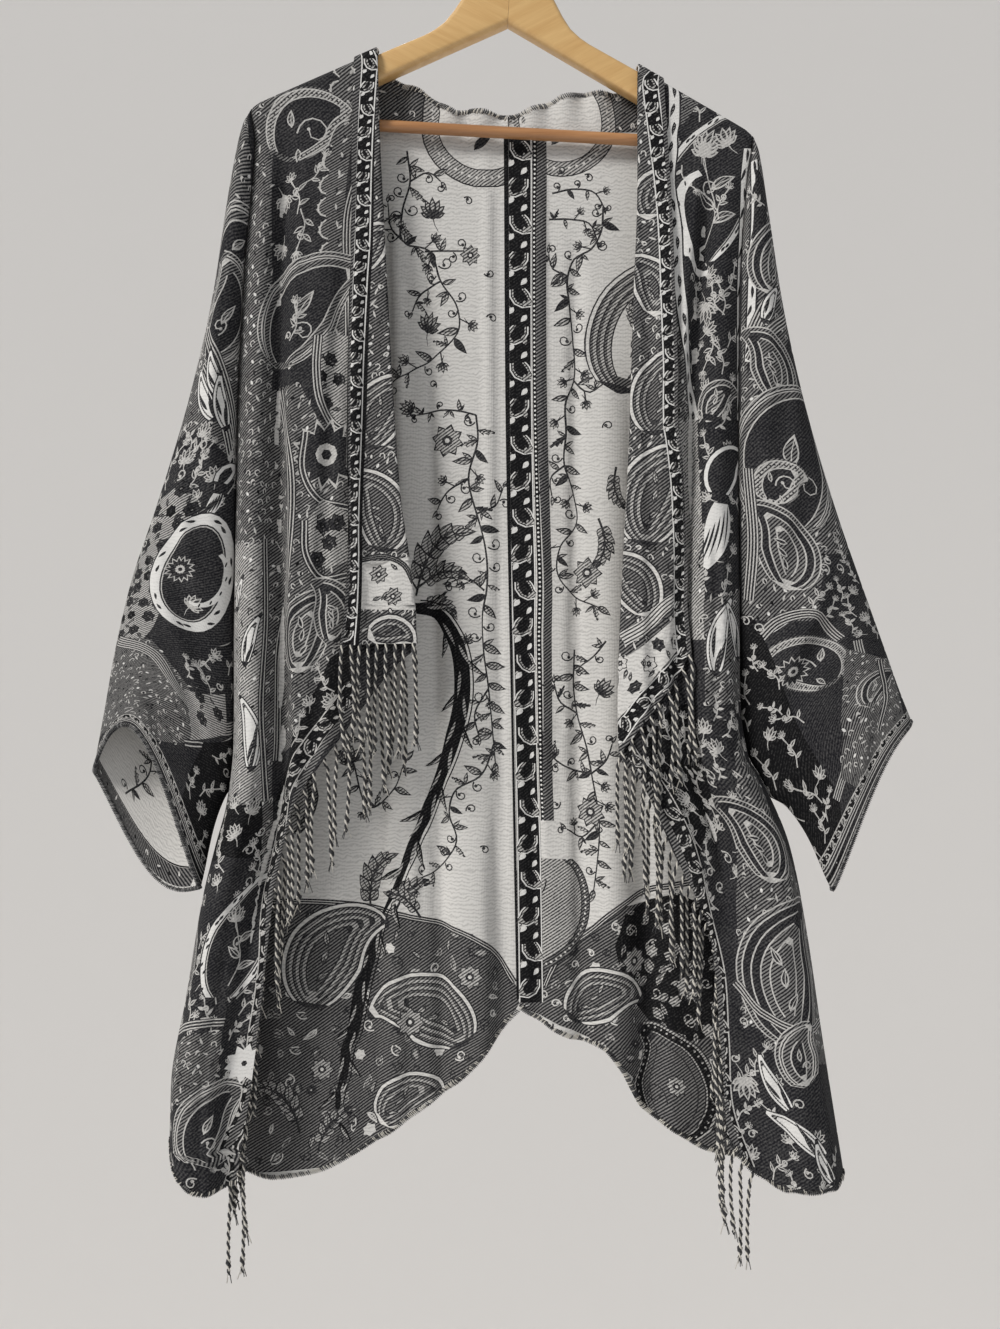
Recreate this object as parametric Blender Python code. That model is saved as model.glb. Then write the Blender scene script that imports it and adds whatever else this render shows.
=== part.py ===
"""Open-front poncho with fringed front ends, hanging on a tilted wooden hanger.

Lengths in the tables are millimetres: out is measured sideways from the garment's centre line, drop
downwards from the inside of the hook, and depth from the hanger's middle plane, positive to the back.
"""
import math
import random
from collections import namedtuple

import bmesh
import bpy
import numpy as np

MM = 0.001
WALL = 1.4                # cloth thickness
SEAM = 0.3                # clear gap between pieces that are sewn or glued together
ARMHOLE_GAP = 2.0         # gap in the valley between a body panel and the sleeve beside it
ARM_HALF = 8.0            # half the thickness of the hanger's wood
ARM_ROUND = 5.0           # rounding of the wood's long edges
CAP = 11.0                # outer radius of the cloth where it passes over the wood
CAP_RISE = 3.2            # top of the cloth above the wood
CAP_SHARE = 0.08          # share of a column's length parameter that is spent on the cap
APEX_DROP = 127.0         # hook to the underside of the wood at the centre
TILT = math.radians(3.2)  # the hanger hangs lower on the right
CENTRE_X = -APEX_DROP * math.sin(TILT)
HOLE = 6.0                # half the depth of the armhole slot between body and sleeve
FOLD_STEP = 1e-6          # how far past the outer fold the back half of a sleeve begins
SLEEVE_CUT = 0.5          # share of a sleeve's length where its back half is cut across
CUT_HALF = 0.0005         # half the gap at that cut, as a share of the length
SIDE_ROUND = 24.0         # width over which a body panel turns in to its side
FRONT_SAG = 12.0          # how far a front hangs forward of the wood
BACK_SAG = 9.0            # how far the back hangs behind the wood
RUFFLE = 3.0              # height of the gathers along the back neck edge
RUFFLE_PITCH = 31.0
NECK_OUT = 119.0          # where the back neck edge climbs over the wood
LAPEL_GAP = 2.0           # space between a lapel and the front under it
LAPEL_LIFT = 5.0          # how far the raw edge of a lapel stands off the front
FRINGE_GAP = 1.0          # gap between a cloth edge and the strip beside it
STRIP = 2.0               # height and depth of the strip that the fringe grows from
STRAND = 2.2              # width of a fringe cord
KNOT = 3.8                # width of the knot near its end
STRAND_LENGTH = 95.0
BAR_RADIUS = 5.2
BAR_UP = -102.0           # bar's axis from the underside of the wood at the centre
BAR_HALF = 177.6
HOOK_WIRE = 1.9
HOOK_INNER = 19.0
WOOD_TOP = 58.0

FrontRow = namedtuple("FrontRow", "drop inner outer")
LapelRow = namedtuple("LapelRow", "drop width")
HemRow = namedtuple("HemRow", "place drop")
Fold = namedtuple("Fold", "top low edge_top edge_low half_top half_low depth_top depth_low")
SleeveRow = namedtuple(
    "SleeveRow", "down inner_out inner_drop outer_out outer_drop front back front_lift back_lift")
Side = namedtuple(
    "Side", "name sign underarm tail front front_hem front_folds lapel lapel_end neck back_hem back_folds sleeve")

SEAM_LINE = [HemRow(150, 0), HemRow(600, 3), HemRow(1050, 11)]

LEFT = Side(
    name="left", sign=-1, underarm=830, tail=3,
    front=[
        FrontRow(160, 120, 234), FrontRow(212, 119, 234), FrontRow(240, 118, 231), FrontRow(353, 112, 240),
        FrontRow(479, 105, 246), FrontRow(570, 98, 248), FrontRow(624, 90, 249), FrontRow(700, 83, 250),
        FrontRow(721, 103, 250), FrontRow(782, 149, 251), FrontRow(844, 192, 258), FrontRow(886, 203, 269),
        FrontRow(931, 212, 280), FrontRow(1021, 222, 295), FrontRow(1102, 232, 309), FrontRow(1200, 247, 311)],
    front_hem=[HemRow(0, 1186), HemRow(0.4, 1190), HemRow(0.75, 1178), HemRow(1, 1154)],
    front_folds=[
        Fold(215, 1400, 13, 27, 15, 32, 4, 17), Fold(235, 1000, 27, 54, 10, 16, -4, -9),
        Fold(260, 930, 66, 84, 28, 32, 4, 8), Fold(420, 730, 112, 132, 22, 26, -2, -5)],
    lapel=[LapelRow(150, 19), LapelRow(391, 32), LapelRow(570, 46), LapelRow(624, 54), LapelRow(705, 69)],
    lapel_end=[HemRow(0, 699), HemRow(1, 701)],
    neck=[
        HemRow(0, 209), HemRow(17, 205), HemRow(35, 202), HemRow(49, 205), HemRow(63, 197), HemRow(82, 185),
        HemRow(100, 178), HemRow(107, 175)],
    back_hem=[
        HemRow(-0.02, 1038), HemRow(0.03, 1053), HemRow(0.12, 1089), HemRow(0.21, 1117), HemRow(0.34, 1147),
        HemRow(0.48, 1178), HemRow(0.61, 1195), HemRow(0.73, 1200), HemRow(1, 1160)],
    back_folds=[
        Fold(820, 1400, 0, 0, 30, 34, 0, 9), Fold(450, 1400, 46, 38, 30, 36, -3, -8),
        Fold(260, 1400, 128, 140, 34, 44, 3, 7), Fold(240, 1400, 206, 262, 24, 34, 4, 8)],
    sleeve=[
        SleeveRow(0.00, 0, 222, 242, 213, 9, 9, 0, 0), SleeveRow(0.10, 0, 293, 255, 275, 14, 10, 0, 0),
        SleeveRow(0.22, 0, 384, 272, 385, 20, 11, 0, 0), SleeveRow(0.35, 0, 475, 293, 475, 24, 12, 0, 0),
        SleeveRow(0.48, 0, 567, 321, 567, 26, 13, 0, 0), SleeveRow(0.62, 0, 670, 347, 645, 28, 14, 8, 0),
        SleeveRow(0.75, 0, 757, 362, 710, 29, 15, 26, -10), SleeveRow(0.87, 264, 838, 371, 762, 30, 17, 56, -26),
        SleeveRow(1.00, 291, 924, 381, 818, 31, 18, 92, -44)])

RIGHT = Side(
    name="right", sign=1, underarm=780, tail=4,
    front=[
        FrontRow(160, 119, 223), FrontRow(236, 119, 223), FrontRow(275, 119, 218), FrontRow(389, 115, 211),
        FrontRow(525, 110, 210), FrontRow(660, 103, 211), FrontRow(750, 100, 213), FrontRow(803, 101, 221),
        FrontRow(820, 117, 231), FrontRow(886, 148, 259), FrontRow(968, 183, 275), FrontRow(1057, 191, 288),
        FrontRow(1152, 198, 303), FrontRow(1215, 206, 313)],
    front_hem=[HemRow(0, 1148), HemRow(0.2, 1176), HemRow(0.45, 1187), HemRow(1, 1184)],
    front_folds=[
        Fold(240, 1400, 15, 38, 16, 38, 4, 19), Fold(255, 990, 31, 70, 10, 17, -5, -9),
        Fold(270, 930, 66, 98, 26, 30, 3, 7)],
    lapel=[LapelRow(150, 20), LapelRow(391, 35), LapelRow(525, 44), LapelRow(624, 55), LapelRow(710, 66),
           LapelRow(810, 74)],
    lapel_end=[HemRow(0, 798), HemRow(1, 708)],
    neck=[
        HemRow(0, 209), HemRow(21, 202), HemRow(35, 197), HemRow(48, 191), HemRow(67, 187), HemRow(86, 187),
        HemRow(100, 188), HemRow(107, 186)],
    back_hem=[
        HemRow(-0.02, 1038), HemRow(0.05, 1050), HemRow(0.16, 1067), HemRow(0.28, 1077), HemRow(0.33, 1094),
        HemRow(0.4, 1136), HemRow(0.52, 1160), HemRow(0.6, 1173), HemRow(1, 1192)],
    back_folds=[
        Fold(820, 1400, 0, 0, 30, 34, 0, 9), Fold(400, 1400, 92, 88, 20, 22, -3, -9),
        Fold(430, 1400, 122, 124, 18, 22, 4, 12), Fold(250, 1400, 186, 250, 24, 36, 4, 9)],
    sleeve=[
        SleeveRow(0.00, 0, 250, 229, 240, 9, 9, 0, 0), SleeveRow(0.10, 0, 310, 239, 300, 14, 10, 0, 0),
        SleeveRow(0.22, 0, 389, 253, 390, 19, 11, 0, 0), SleeveRow(0.36, 0, 480, 273, 480, 23, 12, 0, 0),
        SleeveRow(0.50, 0, 572, 300, 572, 25, 13, 0, 0), SleeveRow(0.64, 0, 668, 327, 650, 27, 14, 0, 0),
        SleeveRow(0.78, 0, 765, 347, 706, 28, 15, 8, 6), SleeveRow(0.89, 257, 850, 359, 740, 28, 16, 20, 17),
        SleeveRow(1.00, 298, 926, 371, 771, 27, 16, 32, 28)])

WOOD_OUTLINE = [
    (0, 58), (14, 58), (21, 54), (27, 45), (33, 34), (43, 17), (50, 5), (58, -6), (67, -13.5), (76, -19),
    (120, -40.5), (222, -92), (226, -97), (226, -108), (222, -113), (188, -112), (178, -109), (178, -96.2),
    (0, -4.5)]
CREST_OUTLINE = [
    (58, -6), (67, -13.5), (76, -19), (120, -40.5), (222, -92), (228, -96.5), (233, -104), (236, -114)]

CLOTH_COLOUR = (0.035, 0.035, 0.04)
LAPEL_COLOUR = (0.42, 0.41, 0.4)
CORD_COLOUR = (0.25, 0.24, 0.22)
WOOD_COLOUR = (0.72, 0.46, 0.2)
BAR_COLOUR = (0.5, 0.26, 0.1)
STEEL_COLOUR = (0.6, 0.6, 0.6)


def along(rows, column, at):
    """A table column as a smooth curve over the table's first column."""
    places = np.array([row[0] for row in rows], float)
    values = np.array([getattr(row, column) for row in rows], float)
    at = np.clip(np.asarray(at, float), places[0], places[-1])
    slopes = np.diff(values) / np.diff(places)
    tangents = np.concatenate([slopes[:1], np.zeros(len(slopes) - 1), slopes[-1:]])
    for i in range(1, len(slopes)):
        if slopes[i - 1] * slopes[i] > 0:
            tangents[i] = 2 * slopes[i - 1] * slopes[i] / (slopes[i - 1] + slopes[i])
    i = np.clip(np.searchsorted(places, at) - 1, 0, len(slopes) - 1)
    span = places[i + 1] - places[i]
    t = (at - places[i]) / span
    rise = values[i + 1] - values[i]
    start = tangents[i] * span
    end = tangents[i + 1] * span
    return values[i] + t * (start + t * (3 * rise - 2 * start - end + t * (start + end - 2 * rise)))


def ease(low, high, at):
    t = np.clip((at - low) / (high - low), 0, 1)
    return t * t * (3 - 2 * t)


def hanger_point(x, up, depth=0.0):
    """A point of the tilted hanger, from its own sideways and upward distances off the wood's apex."""
    below = APEX_DROP - up
    return (x * math.cos(TILT) - below * math.sin(TILT), depth, -x * math.sin(TILT) - below * math.cos(TILT))


def crest(side, out):
    """Drop of the cloth's top line over the wood."""
    outs = []
    drops = []
    for x, up in CREST_OUTLINE:
        at = hanger_point(side.sign * x, up + CAP_RISE)
        outs.append(side.sign * (at[0] - CENTRE_X))
        drops.append(-at[2])
    return np.interp(out, outs, drops)


def cap(below):
    """Share of the full depth that the cloth has at a distance below its top line."""
    t = np.clip(below / CAP, 0, 1)
    return (1 - (1 - t) ** 3) ** (1 / 3)


def column_drop(top, low, down):
    """Drop along a column: first over the rounded cap, then evenly to the hem."""
    turn = np.clip(down / CAP_SHARE, 0, 1) * math.pi / 2
    rest = np.clip((down - CAP_SHARE) / (1 - CAP_SHARE), 0, 1)
    return top + CAP * (1 - np.cos(turn) ** (2 / 3)) + (low - top - CAP) * rest


def folded(folds, from_edge, drop):
    """Sum of the folds, each a smooth ridge that runs down the cloth at a distance from one edge."""
    total = 0
    for fold in folds:
        share = np.clip((drop - fold.top) / (min(fold.low, 1190) - fold.top), 0, 1)
        middle = fold.edge_top + (fold.edge_low - fold.edge_top) * share
        half = fold.half_top + (fold.half_low - fold.half_top) * share
        depth = fold.depth_top + (fold.depth_low - fold.depth_top) * share
        fade = ease(fold.top, fold.top + 80, drop) * (1 - ease(fold.low - 90, fold.low, drop))
        q = np.clip(np.abs(from_edge - middle) / half, 0, 1)
        total = total + depth * fade * (1 - q * q) ** 2
    return total


def slot(side, drop):
    """Half the depth of the slot into the sleeve; nothing below the underarm."""
    return HOLE * (1 - ease(side.underarm - 110, side.underarm, drop)) + SEAM / 2


def placed(side, out, depth, drop):
    return np.stack([CENTRE_X + side.sign * out, depth + 0 * out, -drop], axis=-1) * MM


def front_face(side, across, down):
    """Outer face of a front, from its front edge (across 0) to the armhole, and from shoulder to hem."""
    edges = side.front[0]
    top_out = edges.inner + (edges.outer - edges.inner) * across
    top = crest(side, top_out)
    drop = column_drop(top, along(side.front_hem, "drop", across), down)
    inner = along(side.front, "inner", drop)
    outer = along(side.front, "outer", drop)
    out = inner + (outer - inner) * across
    hang = cap(drop - top)
    depth = CAP * hang + FRONT_SAG * ease(0, 500, drop - top) + folded(side.front_folds, outer - out, drop)
    depth = np.maximum(depth, SEAM / 2)
    turn = np.clip((outer - out) / SIDE_ROUND, 0, 1)
    edge = np.maximum(slot(side, drop) * hang, SEAM / 2)
    depth = edge + (depth - edge) * np.sqrt(1 - (1 - turn) ** 2)
    return placed(side, out, -depth, drop)


def back_top(side, out):
    """Drop of the back's top edge: the neck edge, then up over the wood, then along it."""
    outs = [row.place for row in side.neck]
    drops = [row.drop for row in side.neck]
    for climb, below in ((7, 11), (4, 3), (2, 0.6), (0, 0)):
        outs.append(NECK_OUT - climb)
        drops.append(float(crest(side, NECK_OUT - climb)) + below)
    return np.where(out > NECK_OUT, crest(side, out), np.interp(out, outs, drops))


def back_face(side, across, down):
    """Outer face of half the back, from the centre seam (across 0) to the armhole."""
    top_out = side.front[0].outer * across
    top = back_top(side, top_out)
    drop = column_drop(top, along(side.back_hem, "drop", across), down)
    inner = side.sign * along(SEAM_LINE, "drop", drop) + SEAM / 2
    outer = along(side.front, "outer", drop)
    out = inner + (outer - inner) * across
    below = drop - crest(side, top_out)
    hang = cap(below)
    gathers = RUFFLE * np.sin(2 * math.pi * top_out / RUFFLE_PITCH) * ease(0, 12, NECK_OUT - 14 - top_out)
    depth = CAP * hang + BACK_SAG * ease(30, 500, below) + folded(side.back_folds, out - inner, drop)
    depth = np.maximum(depth + gathers * np.exp(-np.abs(drop - top) / 24), SEAM / 2)
    turn = np.clip((outer - out) / SIDE_ROUND, 0, 1)
    edge = np.maximum(slot(side, drop) * hang, SEAM / 2)
    depth = edge + (depth - edge) * np.sqrt(1 - (1 - turn) ** 2)
    return placed(side, out, depth, drop)


def sleeve_face(side, around, down):
    """Outer face of a sleeve: around runs from the front armhole (0) to the outer fold (1), and from there
    to the back armhole (2)."""
    column = {name: along(side.sleeve, name, down) for name in SleeveRow._fields[1:]}
    is_front = around <= 1
    e = (1 - np.cos(math.pi * np.where(is_front, around, 2 - around))) / 2
    beside_body = along(side.front, "outer", column["inner_drop"]) + ARMHOLE_GAP
    inner_out = np.maximum(column["inner_out"], beside_body)
    swell = np.sin(math.pi * np.clip(e, 0, 1))
    lift = np.where(is_front, column["front_lift"], column["back_lift"])
    bulge = np.where(is_front, -column["front"], column["back"])
    facing = np.where(is_front, -1, 1)
    edge = facing * np.maximum(slot(side, column["inner_drop"]) * (1 - e), SEAM / 2)
    out = inner_out + (column["outer_out"] - inner_out) * e
    drop = column["inner_drop"] + (column["outer_drop"] - column["inner_drop"]) * e - lift * swell
    return placed(side, out, edge + bulge * swell ** 0.55, drop)


def lapel_face(side, across, down):
    """Outer face of a turned-out front edge: the front's own points, moved out."""
    edges = side.front[0]
    low = along(side.lapel_end, "drop", across)
    rough = column_drop(crest(side, edges.inner), low, down)
    width = along(side.front, "outer", rough) - along(side.front, "inner", rough)
    share = across * along(side.lapel, "width", rough) / width
    top = crest(side, edges.inner + (edges.outer - edges.inner) * share)
    drop = column_drop(top, low, down)
    rest = (drop - top - CAP) / (along(side.front_hem, "drop", share) - top - CAP)
    points = front_face(side, share, np.where(down < CAP_SHARE, down, CAP_SHARE + (1 - CAP_SHARE) * rest))
    lift = WALL + LAPEL_GAP + LAPEL_LIFT * across ** 2 * ease(0, 400, drop - top)
    return points + normals(points, (0, -1, 0)) * lift[..., None] * MM


def normals(points, outward):
    """Unit normals of a grid of points, on the side that the outward direction shows."""
    n = np.cross(np.gradient(points, axis=0), np.gradient(points, axis=1))
    n = n / np.linalg.norm(n, axis=-1, keepdims=True)
    middle = n[n.shape[0] * 2 // 3, n.shape[1] // 4]
    return n if np.dot(middle, outward) > 0 else -n


def grid(face, side, across, down):
    a, d = np.meshgrid(np.asarray(across, float), np.asarray(down, float))
    return face(side, a, d)


def material(name, colour, roughness=0.9, metallic=0.0):
    made = bpy.data.materials.new(name)
    made.use_nodes = True
    shader = made.node_tree.nodes["Principled BSDF"]
    shader.inputs["Base Color"].default_value = (*colour, 1)
    shader.inputs["Roughness"].default_value = roughness
    shader.inputs["Metallic"].default_value = metallic
    return made


def add_object(name, bm, colour, roughness=0.9, metallic=0.0):
    bmesh.ops.recalc_face_normals(bm, faces=bm.faces)
    mesh = bpy.data.meshes.new(name)
    bm.to_mesh(mesh)
    bm.free()
    mesh.materials.append(material(name, colour, roughness, metallic))
    bpy.context.scene.collection.objects.link(bpy.data.objects.new(name, mesh))


def wall(name, outer, outward, colour, seam_first=False):
    """A closed solid of cloth thickness behind a grid of points on its outer face.

    Ends that meet another piece stay in the seam's plane: the hanger's middle plane, and with seam_first
    also the plane of the first column. No point crosses the hanger's middle plane.
    """
    inward = -normals(outer, outward)
    inward[np.abs(outer[..., 1]) < SEAM * MM, 1] = 0
    inward /= np.linalg.norm(inward, axis=-1, keepdims=True)
    if seam_first:
        inward[:, 0, 0] = 0
        inward[:, 0] /= np.linalg.norm(inward[:, 0], axis=-1, keepdims=True)
    inner = outer + inward * WALL * MM
    inner[..., 1] = outward[1] * np.maximum(outward[1] * inner[..., 1], SEAM / 2 * MM)
    rows, columns = outer.shape[:2]
    bm = bmesh.new()
    near = [[bm.verts.new(p) for p in row] for row in outer]
    far = [[bm.verts.new(p) for p in row] for row in inner]
    for r in range(rows - 1):
        for c in range(columns - 1):
            for sheet in (near, far):
                bm.faces.new((sheet[r][c], sheet[r][c + 1], sheet[r + 1][c + 1], sheet[r + 1][c]))
    rim = [(0, c) for c in range(columns)]
    rim += [(r, columns - 1) for r in range(1, rows)]
    rim += [(rows - 1, c) for c in range(columns - 2, -1, -1)]
    rim += [(r, 0) for r in range(rows - 2, 0, -1)]
    for (r, c), (s, d) in zip(rim, rim[1:] + rim[:1]):
        bm.faces.new((near[r][c], near[s][d], far[s][d], far[r][c]))
    add_object(name, bm, colour)


def fringe(name, edge, free_side, count, levels, seed):
    """Hanging cords on a strip that runs beside an edge, all one solid.

    The edge is the middle line of the cloth's rim; free_side is a direction that points off the cloth.
    Cords next to each other hang at different depths, so that they stand apart on a steep edge.
    """
    rng = random.Random(seed)
    steps = np.linalg.norm(np.diff(edge, axis=0), axis=1)
    lengths = np.concatenate([[0], np.cumsum(steps)])
    half = STRAND * MM / 2
    roots = np.linspace(half * 2, lengths[-1] - half * 2, count)
    bends = [place for place in lengths if np.min(np.abs(roots - place)) > half * 1.5]
    places = np.sort(np.concatenate([bends, roots - half, roots + half]))
    line = np.stack([np.interp(places, lengths, edge[:, k]) for k in range(3)], axis=-1)
    tangent = np.gradient(line, axis=0)
    tangent[:, 1] = 0
    tangent = tangent / np.linalg.norm(tangent, axis=1, keepdims=True)
    free = np.cross(tangent, (0, 1, 0))
    free = free * np.sign(free @ np.array(free_side, float))[:, None]
    bm = bmesh.new()
    rings = []
    for p, f in zip(line, free):
        ring = []
        for off, depth in ((FRINGE_GAP, -1), (FRINGE_GAP, 1), (FRINGE_GAP + STRIP, 1), (FRINGE_GAP + STRIP, -1)):
            ring.append(bm.verts.new(p + f * off * MM + np.array((0, depth * STRIP / 2 * MM, 0))))
        rings.append(ring)
    bm.faces.new(rings[0])
    bm.faces.new(rings[-1])
    hung = 0
    for i, (a, b) in enumerate(zip(rings, rings[1:])):
        middle = (places[i] + places[i + 1]) / 2
        grows = np.min(np.abs(roots - middle)) < half / 2
        for k in (0, 1, 3):
            bm.faces.new((a[k], a[(k + 1) % 4], b[(k + 1) % 4], b[k]))
        if grows:
            cord(bm, (a[2], a[3], b[3], b[2]), free[i], levels[hung % len(levels)], rng)
            hung += 1
        else:
            bm.faces.new((a[2], a[3], b[3], b[2]))
    add_object(name, bm, CORD_COLOUR)


def cord(bm, root, free, level, rng):
    """A four-sided cord from a face of the strip, turning down to hang at its own depth."""
    middle = np.mean([v.co for v in root], axis=0)
    lean = rng.uniform(-0.015, 0.015)
    length = STRAND_LENGTH * rng.uniform(0.92, 1.05)
    hang = middle + free * 2.5 * MM
    corners = [np.array(v.co) - middle for v in root]
    along_strip = corners[2] - corners[1]
    signs = [(np.sign(np.dot(c, along_strip)), np.sign(c[1])) for c in corners]
    turn = 1 if np.dot(along_strip, (1, 0, 0)) >= 0 else -1
    ring = root
    for fall, width in ((10, STRAND), (length * 0.8, STRAND), (length * 0.85, KNOT), (length, STRAND)):
        centre = hang + np.array((lean * fall, -level, -fall)) * MM
        last = ring
        ring = []
        for s, d in signs:
            ring.append(bm.verts.new(centre + np.array((turn * s * width / 2, d * width / 2, 0)) * MM))
        for k in range(4):
            bm.faces.new((last[k], last[(k + 1) % 4], ring[(k + 1) % 4], ring[k]))
    bm.faces.new(ring)


def wood_arm(name, sign):
    """One arm of the hanger: its outline at the arm's thickness, long edges rounded."""
    bm = bmesh.new()
    gap = SEAM / 2
    outline = [(sign * max(x, gap), up) for x, up in WOOD_OUTLINE]
    faces = []
    for depth in (-ARM_HALF, ARM_HALF):
        points = [bm.verts.new(np.array(hanger_point(x, up, depth)) * MM) for x, up in outline]
        faces.append(bm.faces.new(points))
    front, back = [list(face.verts) for face in faces]
    count = len(front)
    for i in range(count):
        j = (i + 1) % count
        bm.faces.new((front[i], front[j], back[j], back[i]))
    bmesh.ops.recalc_face_normals(bm, faces=bm.faces)
    joint = {front[0], front[-1], back[0], back[-1]}
    rims = [e for face in faces for e in face.edges if not set(e.verts) <= joint]
    bmesh.ops.bevel(bm, geom=rims, offset=ARM_ROUND * MM, segments=2, profile=0.5, affect="EDGES")
    add_object(name, bm, WOOD_COLOUR, 0.45)


def tube(name, path, radius, sides, colour, roughness, metallic):
    """A round rod along a path, ends closed."""
    path = np.array(path, float)
    tangent = np.gradient(path, axis=0)
    tangent = tangent / np.linalg.norm(tangent, axis=1, keepdims=True)
    bm = bmesh.new()
    rings = []
    for p, t in zip(path, tangent):
        u = np.array((0.0, 1.0, 0.0))
        v = np.cross(t, u)
        ring = []
        for k in range(sides):
            a = 2 * math.pi * k / sides
            ring.append(bm.verts.new((p + radius * (math.cos(a) * u + math.sin(a) * v)) * MM))
        rings.append(ring)
    for a, b in zip(rings, rings[1:]):
        for k in range(sides):
            bm.faces.new((a[k], a[(k + 1) % sides], b[(k + 1) % sides], b[k]))
    bm.faces.new(rings[0])
    bm.faces.new(rings[-1])
    add_object(name, bm, colour, roughness, metallic)


def hook_path():
    """Stem, a short bend, and three quarters of a circle whose inner top is the origin."""
    radius = HOOK_INNER + HOOK_WIRE
    centre = -HOOK_INNER
    start = math.radians(-62)
    path = [(0, WOOD_TOP + SEAM), (0, WOOD_TOP + 8), (0, WOOD_TOP + 15)]
    end = (radius * math.cos(start), APEX_DROP + centre + radius * math.sin(start))
    for t in (0.33, 0.67):
        blend = t * t * (3 - 2 * t)
        path.append((end[0] * blend, path[2][1] + (end[1] - path[2][1]) * t))
    for angle in np.linspace(start, math.radians(205), 17):
        path.append((radius * math.cos(angle), APEX_DROP + centre + radius * math.sin(angle)))
    return [hanger_point(x, up) for x, up in path]


def panel_rows(side):
    """Length parameters of a panel's rows: the cap, then down to the front's corner, then to the hem."""
    edges = side.front[0]
    top = float(crest(side, edges.inner)) + CAP
    corner = (max(row.drop for row in side.lapel_end) - top) / (side.front_hem[0].drop - top)
    return with_cap(np.concatenate([np.linspace(0, corner, 10), np.linspace(corner, 1, 11)[1:]]))


def with_cap(rest):
    """Row parameters of the cap, followed by those below it."""
    return np.concatenate([np.linspace(0, CAP_SHARE, 5)[:-1], CAP_SHARE + (1 - CAP_SHARE) * rest])


def build_side(side):
    down = panel_rows(side)
    front_across = 1 - (1 - np.linspace(0, 1, 15)) ** 1.5
    tops = [0, 20, 40, 60, 80, 97, 107, 112, 115, 117, 119, 145, 172, 198]
    edge = side.front[0].outer
    back_across = np.array(tops + [edge - 20, edge - 9, edge - 3, edge]) / edge
    ahead = (0, -1, 0)
    behind = (0, 1, 0)
    front = grid(front_face, side, front_across, down)
    lapel = grid(lapel_face, side, np.linspace(0, 1, 5), with_cap(np.linspace(0, 1, 16)))
    wall("front_" + side.name, front, ahead, CLOTH_COLOUR)
    wall("back_" + side.name, grid(back_face, side, back_across, down), behind, CLOTH_COLOUR, True)
    sleeve_down = np.linspace(0, 1, 15)
    sleeve_front = grid(sleeve_face, side, np.linspace(0, 1, 10), sleeve_down)
    wall("sleeve_front_" + side.name, sleeve_front, ahead, CLOTH_COLOUR)
    past_fold = np.linspace(2, 1 + FOLD_STEP, 10)
    upper = np.append(sleeve_down[sleeve_down < SLEEVE_CUT], SLEEVE_CUT - CUT_HALF)
    lower = np.append(SLEEVE_CUT + CUT_HALF, sleeve_down[sleeve_down > SLEEVE_CUT])
    for place, rows in (("upper_", upper), ("lower_", lower)):
        sleeve_back = grid(sleeve_face, side, past_fold, rows)
        wall("sleeve_back_" + place + side.name, sleeve_back, behind, CLOTH_COLOUR)
    wall("lapel_" + side.name, lapel, ahead, LAPEL_COLOUR)
    middle = front - normals(front, ahead) * WALL / 2 * MM
    hem = np.concatenate([middle[13:, 0], middle[-1, 1:side.tail]])
    fringe("fringe_front_" + side.name, hem, (-side.sign, 0, -0.6), 34, (0, -3.2, -6.4), 3)
    end = (lapel + normals(lapel, ahead) * SEAM * MM)[-1]
    fringe("fringe_lapel_" + side.name, end, (0, 0, -1), 9, (8, 11), 5)


def main():
    for old in list(bpy.data.objects):
        bpy.data.objects.remove(old)
    build_side(LEFT)
    build_side(RIGHT)
    wood_arm("hanger_arm_left", -1)
    wood_arm("hanger_arm_right", 1)
    bar = [hanger_point(x, BAR_UP) for x in (-BAR_HALF, BAR_HALF)]
    tube("hanger_bar", bar, BAR_RADIUS, 14, BAR_COLOUR, 0.5, 0.0)
    tube("hanger_hook", hook_path(), HOOK_WIRE, 8, STEEL_COLOUR, 0.25, 1.0)


main()
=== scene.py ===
"""Looks of a fringed open-front poncho on a wooden hanger.

The cloth is one two-sided jacquard: each panel is a thin closed shell on the form of its solid, and its
motifs are outlines cut into the shell's faces, so that the dark side is out and its negative, the pale side,
is in. Lengths in the tables are millimetres: out is measured sideways from the garment's centre line, drop
downwards from the hook and depth to the back. On the flat cloth, u runs to the right and v downwards, seen
from the front.
"""
import math
import random
from collections import namedtuple

import bmesh
import bpy
import numpy as np
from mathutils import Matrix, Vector, kdtree
from mathutils.geometry import delaunay_2d_cdt


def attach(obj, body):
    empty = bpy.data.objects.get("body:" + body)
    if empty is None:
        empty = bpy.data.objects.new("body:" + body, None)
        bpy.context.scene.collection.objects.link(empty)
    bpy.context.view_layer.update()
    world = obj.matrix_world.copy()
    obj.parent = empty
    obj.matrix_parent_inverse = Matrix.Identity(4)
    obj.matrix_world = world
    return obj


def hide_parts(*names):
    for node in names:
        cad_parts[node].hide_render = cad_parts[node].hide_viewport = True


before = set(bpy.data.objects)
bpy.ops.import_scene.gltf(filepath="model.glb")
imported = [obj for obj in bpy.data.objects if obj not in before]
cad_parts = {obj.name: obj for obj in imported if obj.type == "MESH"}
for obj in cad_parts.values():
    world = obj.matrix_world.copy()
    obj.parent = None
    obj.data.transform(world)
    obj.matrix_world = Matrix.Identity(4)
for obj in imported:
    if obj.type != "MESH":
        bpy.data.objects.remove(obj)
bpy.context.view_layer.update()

MM = 0.001
WALL = 1.4                # cloth thickness
SEAM = 0.04               # gap left between shells that are one cloth
ARMHOLE_GAP = 0.4
ARM_HALF = 8.0            # half the thickness of the hanger's wood
ARM_ROUND = 5.0
ARM_CREASE = math.radians(38)  # edges of the wood that turn more than this stay sharp
CAP = 11.0                # outer radius of the cloth where it passes over the wood
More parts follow.
